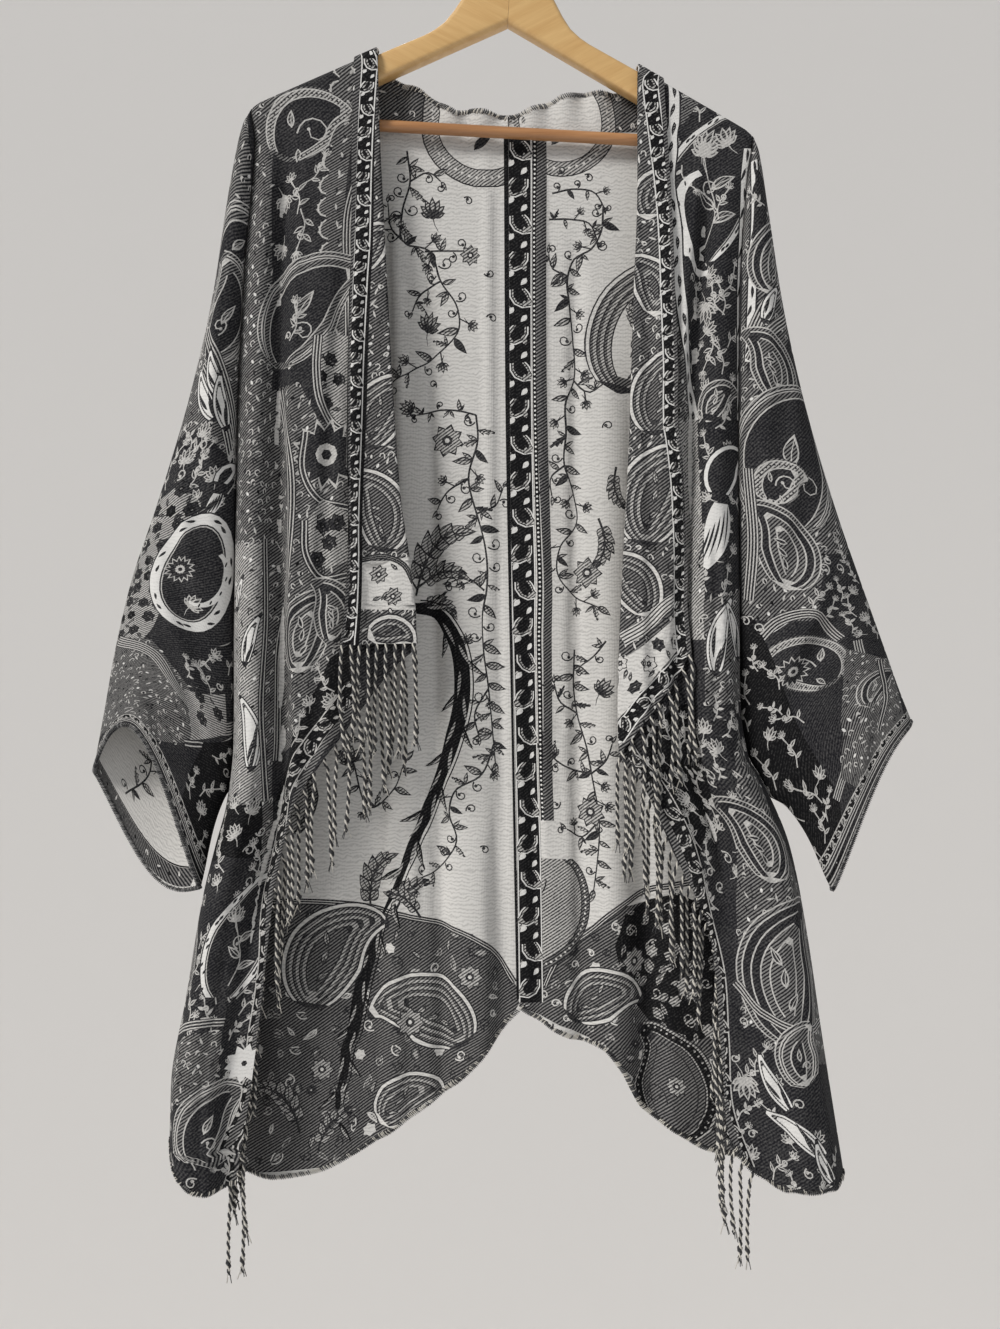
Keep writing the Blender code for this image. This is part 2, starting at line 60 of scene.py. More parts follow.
CAP_RISE = 3.2            # top of the cloth above the wood
APEX_DROP = 127.0         # hook to the underside of the wood at the centre
TILT = math.radians(3.2)  # the hanger hangs lower on the right
CENTRE_X = -APEX_DROP * math.sin(TILT)
HOLE = 9.0                # half the depth of the armhole slot between body and sleeve
SIDE_ROUND = 24.0         # width over which a body panel turns in to its side
UNDERARM_EASE = 110.0     # height over which the slot closes
FRONT_SAG = 12.0          # how far the hanging cloth bellies out
BACK_SAG = 9.0
FOLD_IN = 80.0            # height over which a fold begins, and over which it ends
FOLD_OUT = 90.0
FOLD_LIMIT = 1190.0       # drop at which a fold that runs off the hem has its lower sizes
RUFFLE = 3.0              # height of the gathers along the back neck edge
RUFFLE_PITCH = 31.0
NECK_OUT = 119.0          # where the back neck edge climbs over the wood
LAPEL_GAP = 2.0           # space between a lapel and the front under it
LAPEL_LIFT = 5.0          # how far the raw edge of a lapel stands off the front
LAPEL_SPREAD = 400.0      # height over which it comes to stand off
LAPEL_LEAN = 0.4          # share of its sideways move off the front that a lapel makes
ROLL = 0.15               # share of a lapel's width parameter that turns round its fold
STRAND_LENGTH = 95.0      # fringe cord
PLY = 1.0                 # radius of one of a cord's two plies
PLY_SHARES = (1.16, 0.8)  # thickness of the black and of the cream ply
TWIST = 8.5               # length of one turn of the plies
TUFT = 13.0               # loose fibres at the end of a cord
TUFT_FIBRES = 3
FIBRE_RADIUS = 0.45
KNOT_AT = 0.86            # shares of a cord's length at which it is knotted and comes loose
TUFT_AT = 0.9
FIRST_CORD = 2.2          # how far from its end a row begins
CORD_OFF = 2.5            # how far a cord hangs off its edge
TUCK_IN = 10.0            # how far a hidden cord hangs in from its edge, and behind the cloth
TUCK_BACK = 8.0
FRONT_CORDS = 34          # cords in a row
LAPEL_CORDS = 9
FRONT_CORD_SEED = 3
LAPEL_CORD_SEED = 5
FRONT_LEVELS = (0, -3.2, -6.4)  # depths that the cords of a row have in turn
LAPEL_LEVELS = (4, 7)
STITCH = 1.7              # pitch of the overcast edging
STITCH_RADIUS = 0.55
STITCH_REACH = 3.6        # how far a stitch reaches in from the edge
CUFF_REACH = 2.6
NECK_STITCHED = 0.47      # share of the back's top edge that is overcast
EDGE_POINTS = 160         # points along an edge that is overcast
NECK_POINTS = 76
CUFF_POINTS = 200
CREAM, GREY = 1, 2        # second yarn of the stitches, beside black
BAR_RADIUS = 5.2
BAR_UP = -102.0           # the bar's height over the wood's apex
BAR_HALF = 177.6
HOOK_WIRE = 1.9           # radius of the wire
HOOK_INNER = 19.0
HOOK_FROM = math.radians(-62)
HOOK_TO = math.radians(205)
HOOK_SUNK = 6.0           # how far the wire goes into the wood
WOOD_TOP = 58.0
SLEEVE_LENGTH = 680.0
SLEEVE_WIDE_TOP = 30.0    # half the girth of a sleeve at the shoulder and at the cuff
SLEEVE_WIDE_LOW = 150.0
CREASE_WIDE = 100.0       # the same where a crease takes its slope

# Photo frame, in its pixels, and the camera that took it
PHOTO_WIDE = 1000
PHOTO_HIGH = 1329
PIXEL = 0.92              # size of a pixel at the hanger's plane
VIEW_DISTANCE = 1050.0
CENTRE_PX = 508
APEX_PY = 22
CAMERA_X = CENTRE_X + (PHOTO_WIDE / 2 - CENTRE_PX) * PIXEL
CAMERA_DROP = APEX_DROP + (PHOTO_HIGH / 2 - APEX_PY) * PIXEL

# Tones, and the share of pale yarn that each has on the outer and on the inner face
GROUND, LINE, HATCH, SOFT, DEEP, BRIGHT = range(6)
TONES = 6
OUTER_SHARES = {GROUND: 0.03, LINE: 0.74, HATCH: 0.13, SOFT: 0.42, DEEP: 0.0, BRIGHT: 1.0}
INNER_SHARES = {GROUND: 0.95, LINE: 0.04, HATCH: 0.42, SOFT: 0.11, DEEP: 1.0, BRIGHT: 0.0}

# The tone on the outer face where the inner one has each tone
NEGATIVE = np.array([GROUND, LINE, SOFT, HATCH, LINE, DEEP])

# Cutting the motifs into a shell
TILE = 48.0               # side of the squares of flat cloth that are cut one at a time
GRID = 8.0                # pitch of the points between motifs
LAPEL_GRID = 4.0
ROW = 4.0                 # rows and columns of the table from flat cloth to face
COLUMNS = 140
TURN_STEPS = (1.5, 4.0, 8.0, 13.0)  # distances of points from a sharp turn of the cloth
EDGE_SLACK = 0.02         # how far outside the edge a place still counts as on the cloth
SHARE_SLACK = 1e-5        # the same as a share of a sleeve's length
DROP_STEPS = (1e-3, 0.25)   # steps across and down for a normal, down in millimetres
SHARE_STEPS = (2e-3, 1e-3)  # the same with down as a share of a sleeve's length
SAME_PLACE = 1e-4         # distance at which places in a tile are one
BORDER_BAND = 0.006       # distance from a tile's border at which places are shared with the next
SHARED_PLACE = 0.012      # distance at which shared places are one
MAP_MARGIN = 10.0         # space round a sheet on the pattern map
RIM_CLEAR = 2.0           # space left between the edge and the motifs of the face that is matched to it
RIM_LOW = 0.002           # the rim's strip on the pattern map
RIM_HIGH = 0.006
FLAT_SPAN = 1100.0        # millimetres of flat cloth across the pattern map
FLAT_TURN = FLAT_SPAN * 2 * math.pi  # angle of a wave of one millimetre across the map
REAR_PITCH = 78.0         # between the paisleys on the back of a sleeve
AREA_STEP = 55.0          # photo pixels between the corners of an area's long sides
UNSEEN = 1e6              # photo place of what the photo doesn't show
MAP = "OFBake"

# Looks
CLOTH_SHINE = 0.14
WEFT = 3.1                # pitch of the weft's slanting lines, and of the warp
WARP = 1.5
BANDING = 0.1             # strength of the weft lines, and on hatched cloth
HATCH_BANDING = 0.42
CREPE = 0.42              # strength of the ripples across the pale cloth
RIPPLE_LENGTH = 3.6
RIPPLE_WARP = 14.0
DARK_YARN = (0.011, 0.011, 0.014)
PALE_YARN = (0.66, 0.645, 0.62)
WHITE_YARN = (0.72, 0.71, 0.69)
BLACK_YARN = (0.006, 0.006, 0.007)
CORD_YARNS = (
    ("yarn_black", (0.008, 0.008, 0.01), (0.03, 0.03, 0.033)),
    ("yarn_cream", (0.5, 0.47, 0.41), (0.72, 0.69, 0.63)),
    ("yarn_grey", (0.10, 0.10, 0.105), (0.26, 0.255, 0.25)))
ARM_WOOD = ((0.72, 0.47, 0.20), (0.60, 0.35, 0.13))
BAR_WOOD = ((0.52, 0.26, 0.11), (0.34, 0.15, 0.055))
WIRE_COLOURS = ((0.55, 0.56, 0.58), (0.78, 0.78, 0.77))
GRAIN_LEAN = 27           # degrees that the grain of an arm slopes
FLOOR_COLOUR = (0.74, 0.73, 0.72)
WALL_COLOUR = (0.66, 0.645, 0.63)
FLOOR_Z = -2.9            # metres, as is the rest of the stage
WALL_Y = 2.6
WALL_TOP = 3.0
STAGE_HALF = 7.0

FrontRow = namedtuple("FrontRow", "drop inner outer")
LapelRow = namedtuple("LapelRow", "drop width")
HemRow = namedtuple("HemRow", "place drop")
Fold = namedtuple("Fold", "top low edge_top edge_low half_top half_low depth_top depth_low")
SleeveRow = namedtuple(
    "SleeveRow", "down inner_out inner_drop outer_out outer_drop front back front_lift back_lift")
Crease = namedtuple("Crease", "around down to_around to_down half depth")
Side = namedtuple(
    "Side", "name sign seed underarm tail tucked front front_hem front_folds lapel lapel_end neck back_hem"
    " back_folds sleeve creases")

SEAM_LINE = [HemRow(150, 0), HemRow(600, 3), HemRow(1050, 11)]

LEFT = Side(
    name="left", sign=-1, seed=11, underarm=830, tail=0.12, tucked=(0.5, 0.9),
    front=[
        FrontRow(160, 120, 234), FrontRow(212, 119, 234), FrontRow(240, 118, 231), FrontRow(353, 112, 240),
        FrontRow(479, 105, 246), FrontRow(570, 98, 248), FrontRow(624, 90, 249), FrontRow(700, 83, 250),
        FrontRow(721, 103, 250), FrontRow(782, 149, 251), FrontRow(844, 192, 258), FrontRow(886, 203, 269),
        FrontRow(931, 212, 280), FrontRow(1021, 222, 295), FrontRow(1102, 232, 309),
        FrontRow(1200, 247, 311)],
    front_hem=[HemRow(0, 1186), HemRow(0.4, 1190), HemRow(0.75, 1178), HemRow(1, 1154)],
    front_folds=[
        Fold(215, 1400, 13, 27, 15, 32, 4, 17), Fold(235, 1000, 27, 54, 10, 16, -6.8, -14.4),
        Fold(260, 930, 66, 84, 28, 32, 4, 8), Fold(420, 730, 112, 132, 22, 26, -2, -5),
        Fold(230, 900, 46, 60, 8, 11, 2.7, 5.1), Fold(330, 1000, 92, 70, 9, 12, -3.7, -5.4),
        Fold(640, 1400, 8, 10, 7, 10, 2.5, 5.6), Fold(760, 1400, 44, 46, 8, 12, 2.5, 6.4),
        Fold(300, 760, 104, 118, 7, 9, 2.4, 3.8), Fold(520, 960, 30, 36, 6, 8, -2.7, -4.2)],
    lapel=[LapelRow(150, 19), LapelRow(391, 32), LapelRow(570, 46), LapelRow(624, 54), LapelRow(705, 69)],
    lapel_end=[HemRow(0, 699), HemRow(1, 701)],
    neck=[
        HemRow(0, 209), HemRow(17, 205), HemRow(35, 202), HemRow(49, 205), HemRow(63, 197), HemRow(82, 185),
        HemRow(100, 178), HemRow(107, 175)],
    back_hem=[
        HemRow(-0.02, 1038), HemRow(0.03, 1053), HemRow(0.12, 1089), HemRow(0.21, 1117), HemRow(0.34, 1147),
        HemRow(0.48, 1178), HemRow(0.61, 1195), HemRow(0.73, 1200), HemRow(1, 1160)],
    back_folds=[
        Fold(820, 1400, 0, 0, 30, 34, 0, 9), Fold(450, 1400, 46, 38, 30, 36, -3, -8),
        Fold(260, 1400, 128, 140, 34, 44, 3, 7), Fold(240, 1400, 206, 262, 24, 34, 4, 8),
        Fold(230, 900, 22, 18, 9, 10, -2.7, -3.8), Fold(300, 1400, 76, 70, 10, 15, 3.4, 6.4),
        Fold(260, 1000, 104, 98, 9, 12, -3.4, -4.8), Fold(600, 1400, 16, 20, 10, 14, 3.1, 6.4),
        Fold(780, 1400, 112, 120, 12, 17, -3.4, -8)],
    sleeve=[
        SleeveRow(0.00, 0, 209, 235.2, 209, 1, 1, 0, 0), SleeveRow(0.03, 0, 230, 244, 224, 10, 9, 0, 0),
        SleeveRow(0.10, 0, 293, 255, 275, 14, 10, 0, 0),
        SleeveRow(0.22, 0, 384, 272, 385, 20, 11, 0, 0), SleeveRow(0.35, 0, 475, 293, 475, 24, 12, 0, 0),
        SleeveRow(0.48, 0, 567, 321, 567, 26, 13, 0, 0), SleeveRow(0.62, 0, 670, 347, 645, 28, 14, 8, 0),
        SleeveRow(0.75, 0, 757, 362, 710, 29, 15, 26, -10),
        SleeveRow(0.87, 259, 838, 371, 762, 30, 17, 56, -26),
        SleeveRow(1.00, 283, 924, 381, 818, 31, 18, 92, -44)],
    creases=[
        Crease(0.12, 0.84, 0.7, 0.46, 13, -5.1), Crease(0.1, 0.93, 0.8, 0.66, 14, -5.4),
        Crease(0.15, 0.74, 0.62, 0.28, 12, -3.9), Crease(0.18, 0.88, 0.76, 0.56, 9, 3.6),
        Crease(0.45, 0.98, 0.8, 0.8, 12, 3.9), Crease(0.3, 0.45, 0.55, 0.12, 10, 3),
        Crease(1.85, 0.82, 1.3, 0.48, 13, -3.9), Crease(1.85, 0.92, 1.25, 0.7, 13, -3.9)])

RIGHT = Side(
    name="right", sign=1, seed=23, underarm=780, tail=0.2, tucked=(0.42, 0.56),
    front=[
        FrontRow(160, 119, 223), FrontRow(236, 119, 223), FrontRow(275, 119, 218), FrontRow(389, 115, 211),
        FrontRow(525, 110, 210), FrontRow(660, 103, 211), FrontRow(750, 100, 213), FrontRow(803, 101, 221),
        FrontRow(820, 117, 231), FrontRow(886, 148, 259), FrontRow(968, 183, 275), FrontRow(1057, 191, 288),
        FrontRow(1152, 198, 303), FrontRow(1215, 206, 313)],
    front_hem=[HemRow(0, 1148), HemRow(0.2, 1176), HemRow(0.45, 1187), HemRow(1, 1184)],
    front_folds=[
        Fold(240, 1400, 15, 38, 16, 38, 4, 19), Fold(255, 990, 31, 70, 10, 17, -8.5, -14.4),
        Fold(270, 930, 66, 98, 26, 30, 3, 7), Fold(240, 900, 46, 58, 8, 11, 3.1, 5.4),
        Fold(320, 1000, 84, 80, 8, 12, -3.4, -5.8), Fold(660, 1400, 10, 14, 7, 11, 3.1, 6.4),
        Fold(800, 1400, 56, 66, 9, 14, 3.4, 7.2), Fold(560, 980, 24, 30, 6, 8, -2.7, -4.2)],
    lapel=[LapelRow(150, 20), LapelRow(391, 35), LapelRow(525, 44), LapelRow(624, 55), LapelRow(710, 66),
           LapelRow(810, 74)],
    lapel_end=[HemRow(0, 798), HemRow(1, 708)],
    neck=[
        HemRow(0, 209), HemRow(21, 202), HemRow(35, 197), HemRow(48, 191), HemRow(67, 187), HemRow(86, 187),
        HemRow(100, 188), HemRow(107, 186)],
    back_hem=[
        HemRow(-0.02, 1038), HemRow(0.05, 1050), HemRow(0.16, 1067), HemRow(0.28, 1077), HemRow(0.33, 1094),
        HemRow(0.4, 1136), HemRow(0.52, 1160), HemRow(0.6, 1173), HemRow(1, 1192)],
    back_folds=[
        Fold(820, 1400, 0, 0, 30, 34, 0, 9), Fold(400, 1400, 92, 88, 20, 22, -3, -9),
        Fold(430, 1400, 122, 124, 18, 22, 4, 12), Fold(250, 1400, 186, 250, 24, 36, 4, 9),
        Fold(230, 900, 30, 26, 9, 10, -2.7, -3.8), Fold(300, 1400, 62, 58, 9, 14, 3.4, 6.4),
        Fold(620, 1400, 14, 22, 10, 14, 3.1, 6.4)],
    sleeve=[
        SleeveRow(0.00, 0, 234, 224.2, 234, 1, 1, 0, 0), SleeveRow(0.03, 0, 254, 230.5, 249, 10, 9, 0, 0),
        SleeveRow(0.10, 0, 310, 239, 300, 14, 10, 0, 0),
        SleeveRow(0.22, 0, 389, 253, 390, 19, 11, 0, 0), SleeveRow(0.36, 0, 480, 273, 480, 23, 12, 0, 0),
        SleeveRow(0.50, 0, 572, 300, 572, 25, 13, 0, 0), SleeveRow(0.64, 0, 668, 327, 650, 27, 14, 0, 0),
        SleeveRow(0.78, 0, 765, 347, 706, 28, 15, 8, 6), SleeveRow(0.89, 257, 850, 359, 740, 28, 16, 20, 17),
        SleeveRow(1.00, 298, 926, 371, 771, 27, 16, 32, 28)],
    creases=[
        Crease(0.12, 0.82, 0.66, 0.44, 13, -5.1), Crease(0.14, 0.92, 0.78, 0.64, 14, -5.1),
        Crease(0.16, 0.7, 0.58, 0.26, 12, -3.6), Crease(0.2, 0.87, 0.74, 0.54, 9, 3.6),
        Crease(0.4, 0.97, 0.84, 0.82, 12, 3.9), Crease(0.3, 0.42, 0.5, 0.12, 10, 3),
        Crease(1.85, 0.82, 1.3, 0.48, 13, -3.9), Crease(1.85, 0.92, 1.25, 0.7, 13, -3.9)])

WOOD_OUTLINE = [
    (0, 58), (14, 58), (21, 54), (27, 45), (33, 34), (43, 17), (50, 5), (58, -6), (67, -13.5), (76, -19),
    (120, -40.5), (222, -92), (226, -97), (226, -108), (222, -113), (188, -112), (178, -109), (178, -96.2),
    (0, -4.5)]
CREST_OUTLINE = [
    (58, -6), (67, -13.5), (76, -19), (120, -40.5), (222, -92), (228, -96.5), (233, -104), (236, -114)]

# Flat cuts: width, length and area of each piece of cloth, in metres
Cut = namedtuple("Cut", "front back sleeve lapel")

# Motifs, placed by the photo pixel that each is seen at; sizes are millimetres on the cloth, turns degrees
Area = namedtuple("Area", "tone scatter pitch points")
Path = namedtuple("Path", "kind width points")
Motif = namedtuple("Motif", "kind px py size turn hand", defaults=(0, 1))

BACK_LEFT = [
    Area(SOFT, "squiggle", 15, [(225, 60), (508, 60), (508, 128), (225, 128)]),
    Motif("feather", 318, 232, 150, -10, -1), Motif("feather", 330, 640, 140, 6, -1),
    Motif("bead", 280, 800, 110, -8),
    Path("vine", 12, [(262, 150), (272, 220), (258, 300), (276, 380), (330, 400), (362, 440), (372, 500)]),
    Path("vine", 12, [(250, 560), (264, 620), (252, 700), (240, 760), (226, 830), (232, 890)]),
    Path("twig", 11, [(330, 400), (346, 360), (340, 330)]),
    Path("twig", 11, [(276, 380), (260, 420), (262, 450)]),
    Motif("flower", 352, 330, 15), Motif("flower", 258, 440, 15), Motif("bloom", 346, 540, 15, 30),
    Motif("flower", 268, 710, 15), Motif("bloom", 350, 760, 14, -20), Motif("arc", 487, 120, 54),
    Path("vine", 11, [(408, 150), (411, 181), (403, 212), (403, 240), (430, 254), (440, 281), (457, 309),
                      (459, 331), (442, 353), (409, 372), (390, 388)]),
    Path("vine", 11, [(476, 415), (478, 436), (468, 480), (476, 514), (485, 540), (486, 590), (482, 612),
                      (483, 645), (488, 684), (494, 760)]),
    Path("twig", 8, [(476, 415), (457, 411), (435, 414), (418, 416)]),
    Path("vine", 10, [(494, 740), (480, 776), (455, 792), (450, 812), (457, 838), (440, 866), (412, 880)]),
    Path("twig", 9, [(403, 240), (392, 228), (388, 205)]),
    Path("twig", 9, [(424, 250), (450, 250), (466, 252)]),
    Path("vine", 9, [(336, 700), (352, 760), (372, 806), (392, 790), (405, 760)]),
    Path("twig", 10, [(411, 181), (430, 172), (440, 184)]),
    Path("twig", 9, [(440, 281), (420, 296), (412, 312)]),
    Path("twig", 10, [(468, 480), (448, 492), (438, 508)]),
    Path("twig", 9, [(476, 514), (496, 506), (502, 490)]),
    Path("twig", 9, [(485, 590), (466, 578), (452, 584)]),
    Path("twig", 9, [(488, 690), (474, 716), (478, 736)]),
    Motif("bloom", 432, 216, 15), Motif("flower", 471, 254, 10), Motif("bloom", 427, 330, 15, 20),
    Motif("bloom", 411, 410, 11, -60), Motif("flower", 448, 442, 16, 10), Motif("curl", 462, 200, 9, 60),
    Motif("curl", 484, 272, 9, 150, -1), Motif("curl", 486, 320, 10, 30),
    Motif("curl", 436, 392, 9, 20, -1), Motif("frond", 417, 590, 80, 14), Motif("frond", 419, 586, 52, 52),
    Motif("frond", 415, 586, 44, -38, -1), Motif("frond", 422, 604, 40, 80), Motif("curl", 446, 590, 14),
    Motif("bloom", 465, 640, 8, 30), Motif("curl", 466, 812, 10), Motif("curl", 440, 846, 10, 180, -1),
    Motif("curl", 478, 850, 9, 60),
    Area(SOFT, "", 0, [(150, 905), (330, 902), (404, 914), (439, 922), (473, 936), (500, 958), (516, 985),
                       (525, 1005), (500, 1040), (470, 1075), (440, 1100), (400, 1125), (360, 1150),
                       (320, 1165), (280, 1172), (250, 1170), (220, 1165), (190, 1150), (150, 1140)]),
    Area(SOFT, "filigree", 19, [(190, 910), (262, 905), (404, 914), (473, 936), (516, 985), (500, 1040),
                                (440, 1100), (360, 1150), (280, 1172), (200, 1150)]),
    Path("ring", 6, [(150, 905), (265, 900), (330, 904), (404, 914), (439, 923), (473, 937), (498, 958),
                     (514, 984)]),
    Path("plume", 15, [(413, 606), (436, 612), (455, 636), (462, 690), (452, 746), (428, 808), (409, 850),
                       (392, 900), (381, 918)]),
    Path("plume", 13, [(381, 920), (362, 985), (345, 1060), (336, 1130)]),
    Motif("frond", 372, 908, 62, -4), Motif("frond", 398, 906, 42, 26),
    Motif("frond", 420, 914, 40, -30, -1), Motif("ripple", 322, 962, 130, 8),
    Motif("ripple", 440, 1010, 120, -40, -1), Motif("flower", 409, 1022, 15), Motif("curl", 330, 1098, 20),
    Motif("curl", 350, 1132, 15, 60, -1), Motif("flower", 322, 1070, 12),
    Motif("frond", 300, 1130, 62, -20, -1), Motif("frond", 318, 1150, 50, 10),
    Motif("flower", 470, 975, 13), Motif("ripple", 395, 1105, 80, 30),
    Path("line", 5, [(506, 130), (508, 400), (512, 650), (518, 900), (520, 1000)]),
]

BACK_RIGHT = [
    Area(SOFT, "squiggle", 12, [(505, 60), (770, 60), (770, 132), (505, 132)]),
    Motif("ripple", 706, 500, 120, -8, -1), Motif("feather", 690, 664, 140, 10),
    Motif("bead", 740, 800, 110, 6, -1),
    Path("vine", 12, [(744, 170), (732, 240), (742, 320), (726, 390), (680, 424), (652, 470), (648, 540)]),
    Path("vine", 12, [(734, 560), (746, 620), (742, 690), (764, 760), (782, 830), (786, 880)]),
    Path("twig", 11, [(680, 424), (666, 390), (672, 360)]),
    Path("twig", 11, [(726, 390), (742, 420), (740, 446)]),
    Motif("flower", 712, 210, 15), Motif("flower", 744, 450, 15), Motif("bloom", 668, 580, 15, -30),
    Motif("flower", 722, 750, 15), Motif("bloom", 664, 800, 14, 20), Motif("arc", 560, 122, 46),
    Path("vine", 10, [(604, 206), (600, 232), (590, 252), (574, 258), (567, 276), (568, 309), (572, 338),
                      (573, 381), (566, 400), (565, 430), (564, 467), (572, 493), (577, 523), (560, 549),
                      (557, 573), (572, 596), (598, 607)]),
    Path("twig", 8, [(552, 194), (575, 190), (596, 196), (603, 208)]),
    Path("twig", 8, [(548, 222), (572, 218), (590, 226), (598, 242)]),
    Path("vine", 10, [(574, 650), (573, 694), (577, 712), (587, 746), (591, 775), (600, 820), (598, 860),
                      (594, 890)]),
    Path("twig", 9, [(590, 772), (570, 770), (552, 758), (543, 738)]),
    Path("twig", 9, [(606, 640), (596, 655), (580, 668)]),
    Path("twig", 10, [(567, 276), (552, 268), (548, 254)]),
    Path("twig", 10, [(573, 381), (590, 392), (604, 384)]),
    Path("twig", 10, [(564, 467), (550, 478), (552, 496)]),
    Path("twig", 9, [(577, 712), (560, 700), (554, 684)]),
    Path("twig", 9, [(591, 775), (606, 762), (612, 744)]),
    Path("twig", 9, [(600, 820), (580, 836), (566, 830)]),
    Motif("flower", 588, 571, 15), Motif("bloom", 600, 692, 13, 40), Motif("bloom", 553, 755, 11, -40, -1),
    Motif("flower", 590, 812, 15, 15), Motif("curl", 583, 178, 9, 60), Motif("curl", 556, 172, 8, 120, -1),
    Motif("curl", 560, 800, 11, 180), Motif("curl", 603, 430, 10), Motif("frond", 600, 520, 46, 160),
    Motif("frond", 616, 470, 40, 190, -1), Motif("feather", 640, 332, 175, 12),
    Area(SOFT, "", 0, [(520, 990), (540, 985), (560, 950), (575, 937), (600, 922), (622, 905), (850, 890),
                       (850, 1190), (780, 1180), (720, 1160), (690, 1140), (655, 1110), (635, 1080),
                       (620, 1050), (590, 1035), (560, 1025), (530, 1012), (516, 1005)]),
    Area(SOFT, "filigree", 17, [(525, 990), (560, 950), (622, 905), (810, 895), (820, 1170), (690, 1140),
                                (635, 1080), (590, 1035), (530, 1012)]),
    Area(BRIGHT, "filigree", 14, [(614, 948), (624, 916), (648, 898), (678, 894), (706, 904), (722, 932),
                                  (726, 972), (720, 1012), (704, 1038), (682, 1040), (650, 1020),
                                  (624, 988)]),
    Path("ring", 6, [(545, 985), (560, 955), (590, 930), (620, 908), (700, 880), (850, 860)]),
    Motif("bead", 548, 900, 132, 180), Motif("ripple", 590, 1000, 90, 40),
    Motif("rimmed", 672, 1096, 118, 24, -1), Motif("flower", 634, 960, 15), Motif("flower", 690, 985, 14),
    Path("chain", 25, [(519, 130), (520, 400), (525, 650), (529, 830), (531, 1000)]),
    Path("dots", 4, [(534, 130), (535, 400), (540, 650), (543, 820)]),
    Path("grey", 9, [(541, 130), (542, 400), (547, 650), (550, 820)]),
]

FRONT_LEFT = [
    Area(HATCH, "squiggle", 9, [(238, 60), (272, 60), (272, 1000), (225, 1000), (238, 400)]),
    Path("scallop", 17, [(347, 50), (341, 150), (338, 250), (336, 335)]),
    Path("lines", 9, [(354, 50), (350, 200), (349, 330), (350, 470)]),
    Area(HATCH, "squiggle", 9, [(240, 110), (262, 82), (290, 82), (270, 110), (262, 170), (240, 170)]),
    Motif("spiral", 297, 130, 92, 18), Motif("sprig", 296, 196, 36, -20),
    Motif("sprig", 300, 232, 40, 170, -1), Motif("bloom", 284, 200, 12, 160),
    Motif("sprig", 316, 170, 30, 30), Motif("bloom", 283, 246, 11, 200),
    Motif("hatched", 292, 316, 132, 10), Motif("sprig", 294, 320, 34, 10), Motif("curl", 286, 342, 9),
    Area(SOFT, "roses", 20, [(318, 350), (330, 330), (350, 335), (350, 425), (338, 422), (322, 400)]),
    Path("lines", 9, [(318, 335), (316, 370), (322, 405), (338, 428), (352, 432)]),
    Area(HATCH, "squiggle", 10, [(266, 388), (300, 384), (318, 420), (350, 436), (350, 700), (320, 730),
                                 (270, 760)]),
    Motif("dahlia", 326, 456, 34),
    Path("lines", 8, [(305, 430), (303, 470), (318, 500), (350, 506)]),
    Area(SOFT, "roses", 18, [(308, 520), (322, 500), (348, 512), (348, 562), (325, 572), (310, 552)]),
    Path("lines", 8, [(304, 520), (306, 556), (322, 580), (350, 576)]),
    Motif("ripple", 300, 640, 90, -8), Motif("ripple", 335, 620, 70, 20, -1),
    Path("lines", 10, [(280, 390), (290, 470), (288, 560), (279, 660), (276, 760)]),
    Area(DEEP, "sprigs", 26, [(352, 640), (352, 690), (322, 730), (298, 780), (284, 810), (276, 800),
                              (300, 720), (330, 660)]),
    Area(SOFT, "squiggle", 12, [(229, 545), (262, 545), (264, 800), (228, 800)]),
    Motif("tear", 247, 650, 52, 4), Motif("tear", 252, 742, 74, -6, -1), Motif("tear", 238, 600, 36, 2),
    Path("lines", 8, [(266, 540), (266, 620), (262, 700), (266, 800)]),
    Area(DEEP, "sprigs", 23, [(200, 812), (262, 802), (262, 860), (205, 860)]),
    Area(GROUND, "sprigs", 22, [(150, 860), (262, 858), (258, 1200), (150, 1200)]),
    Motif("white", 236, 948, 138, 4),
    Area(HATCH, "squiggle", 9, [(165, 1040), (222, 1030), (215, 1095), (165, 1100)]),
    Path("lines", 9, [(172, 1030), (200, 1024), (224, 1020)]),
    Motif("hatched", 200, 1136, 92, 6), Motif("tear", 238, 1128, 46, 28),
    Motif("ripple", 188, 960, 80, 0, -1),
    Path("chain", 17, [(352, 690), (336, 712), (312, 742), (287, 790), (277, 850), (268, 930), (261, 1020),
                       (253, 1100), (246, 1190)]),
    Path("grey", 7, [(362, 690), (346, 716), (322, 748), (297, 796), (286, 850), (276, 930), (268, 1020),
                     (261, 1100), (254, 1190)]),
    Motif("daisy", 244, 1064, 18),
]

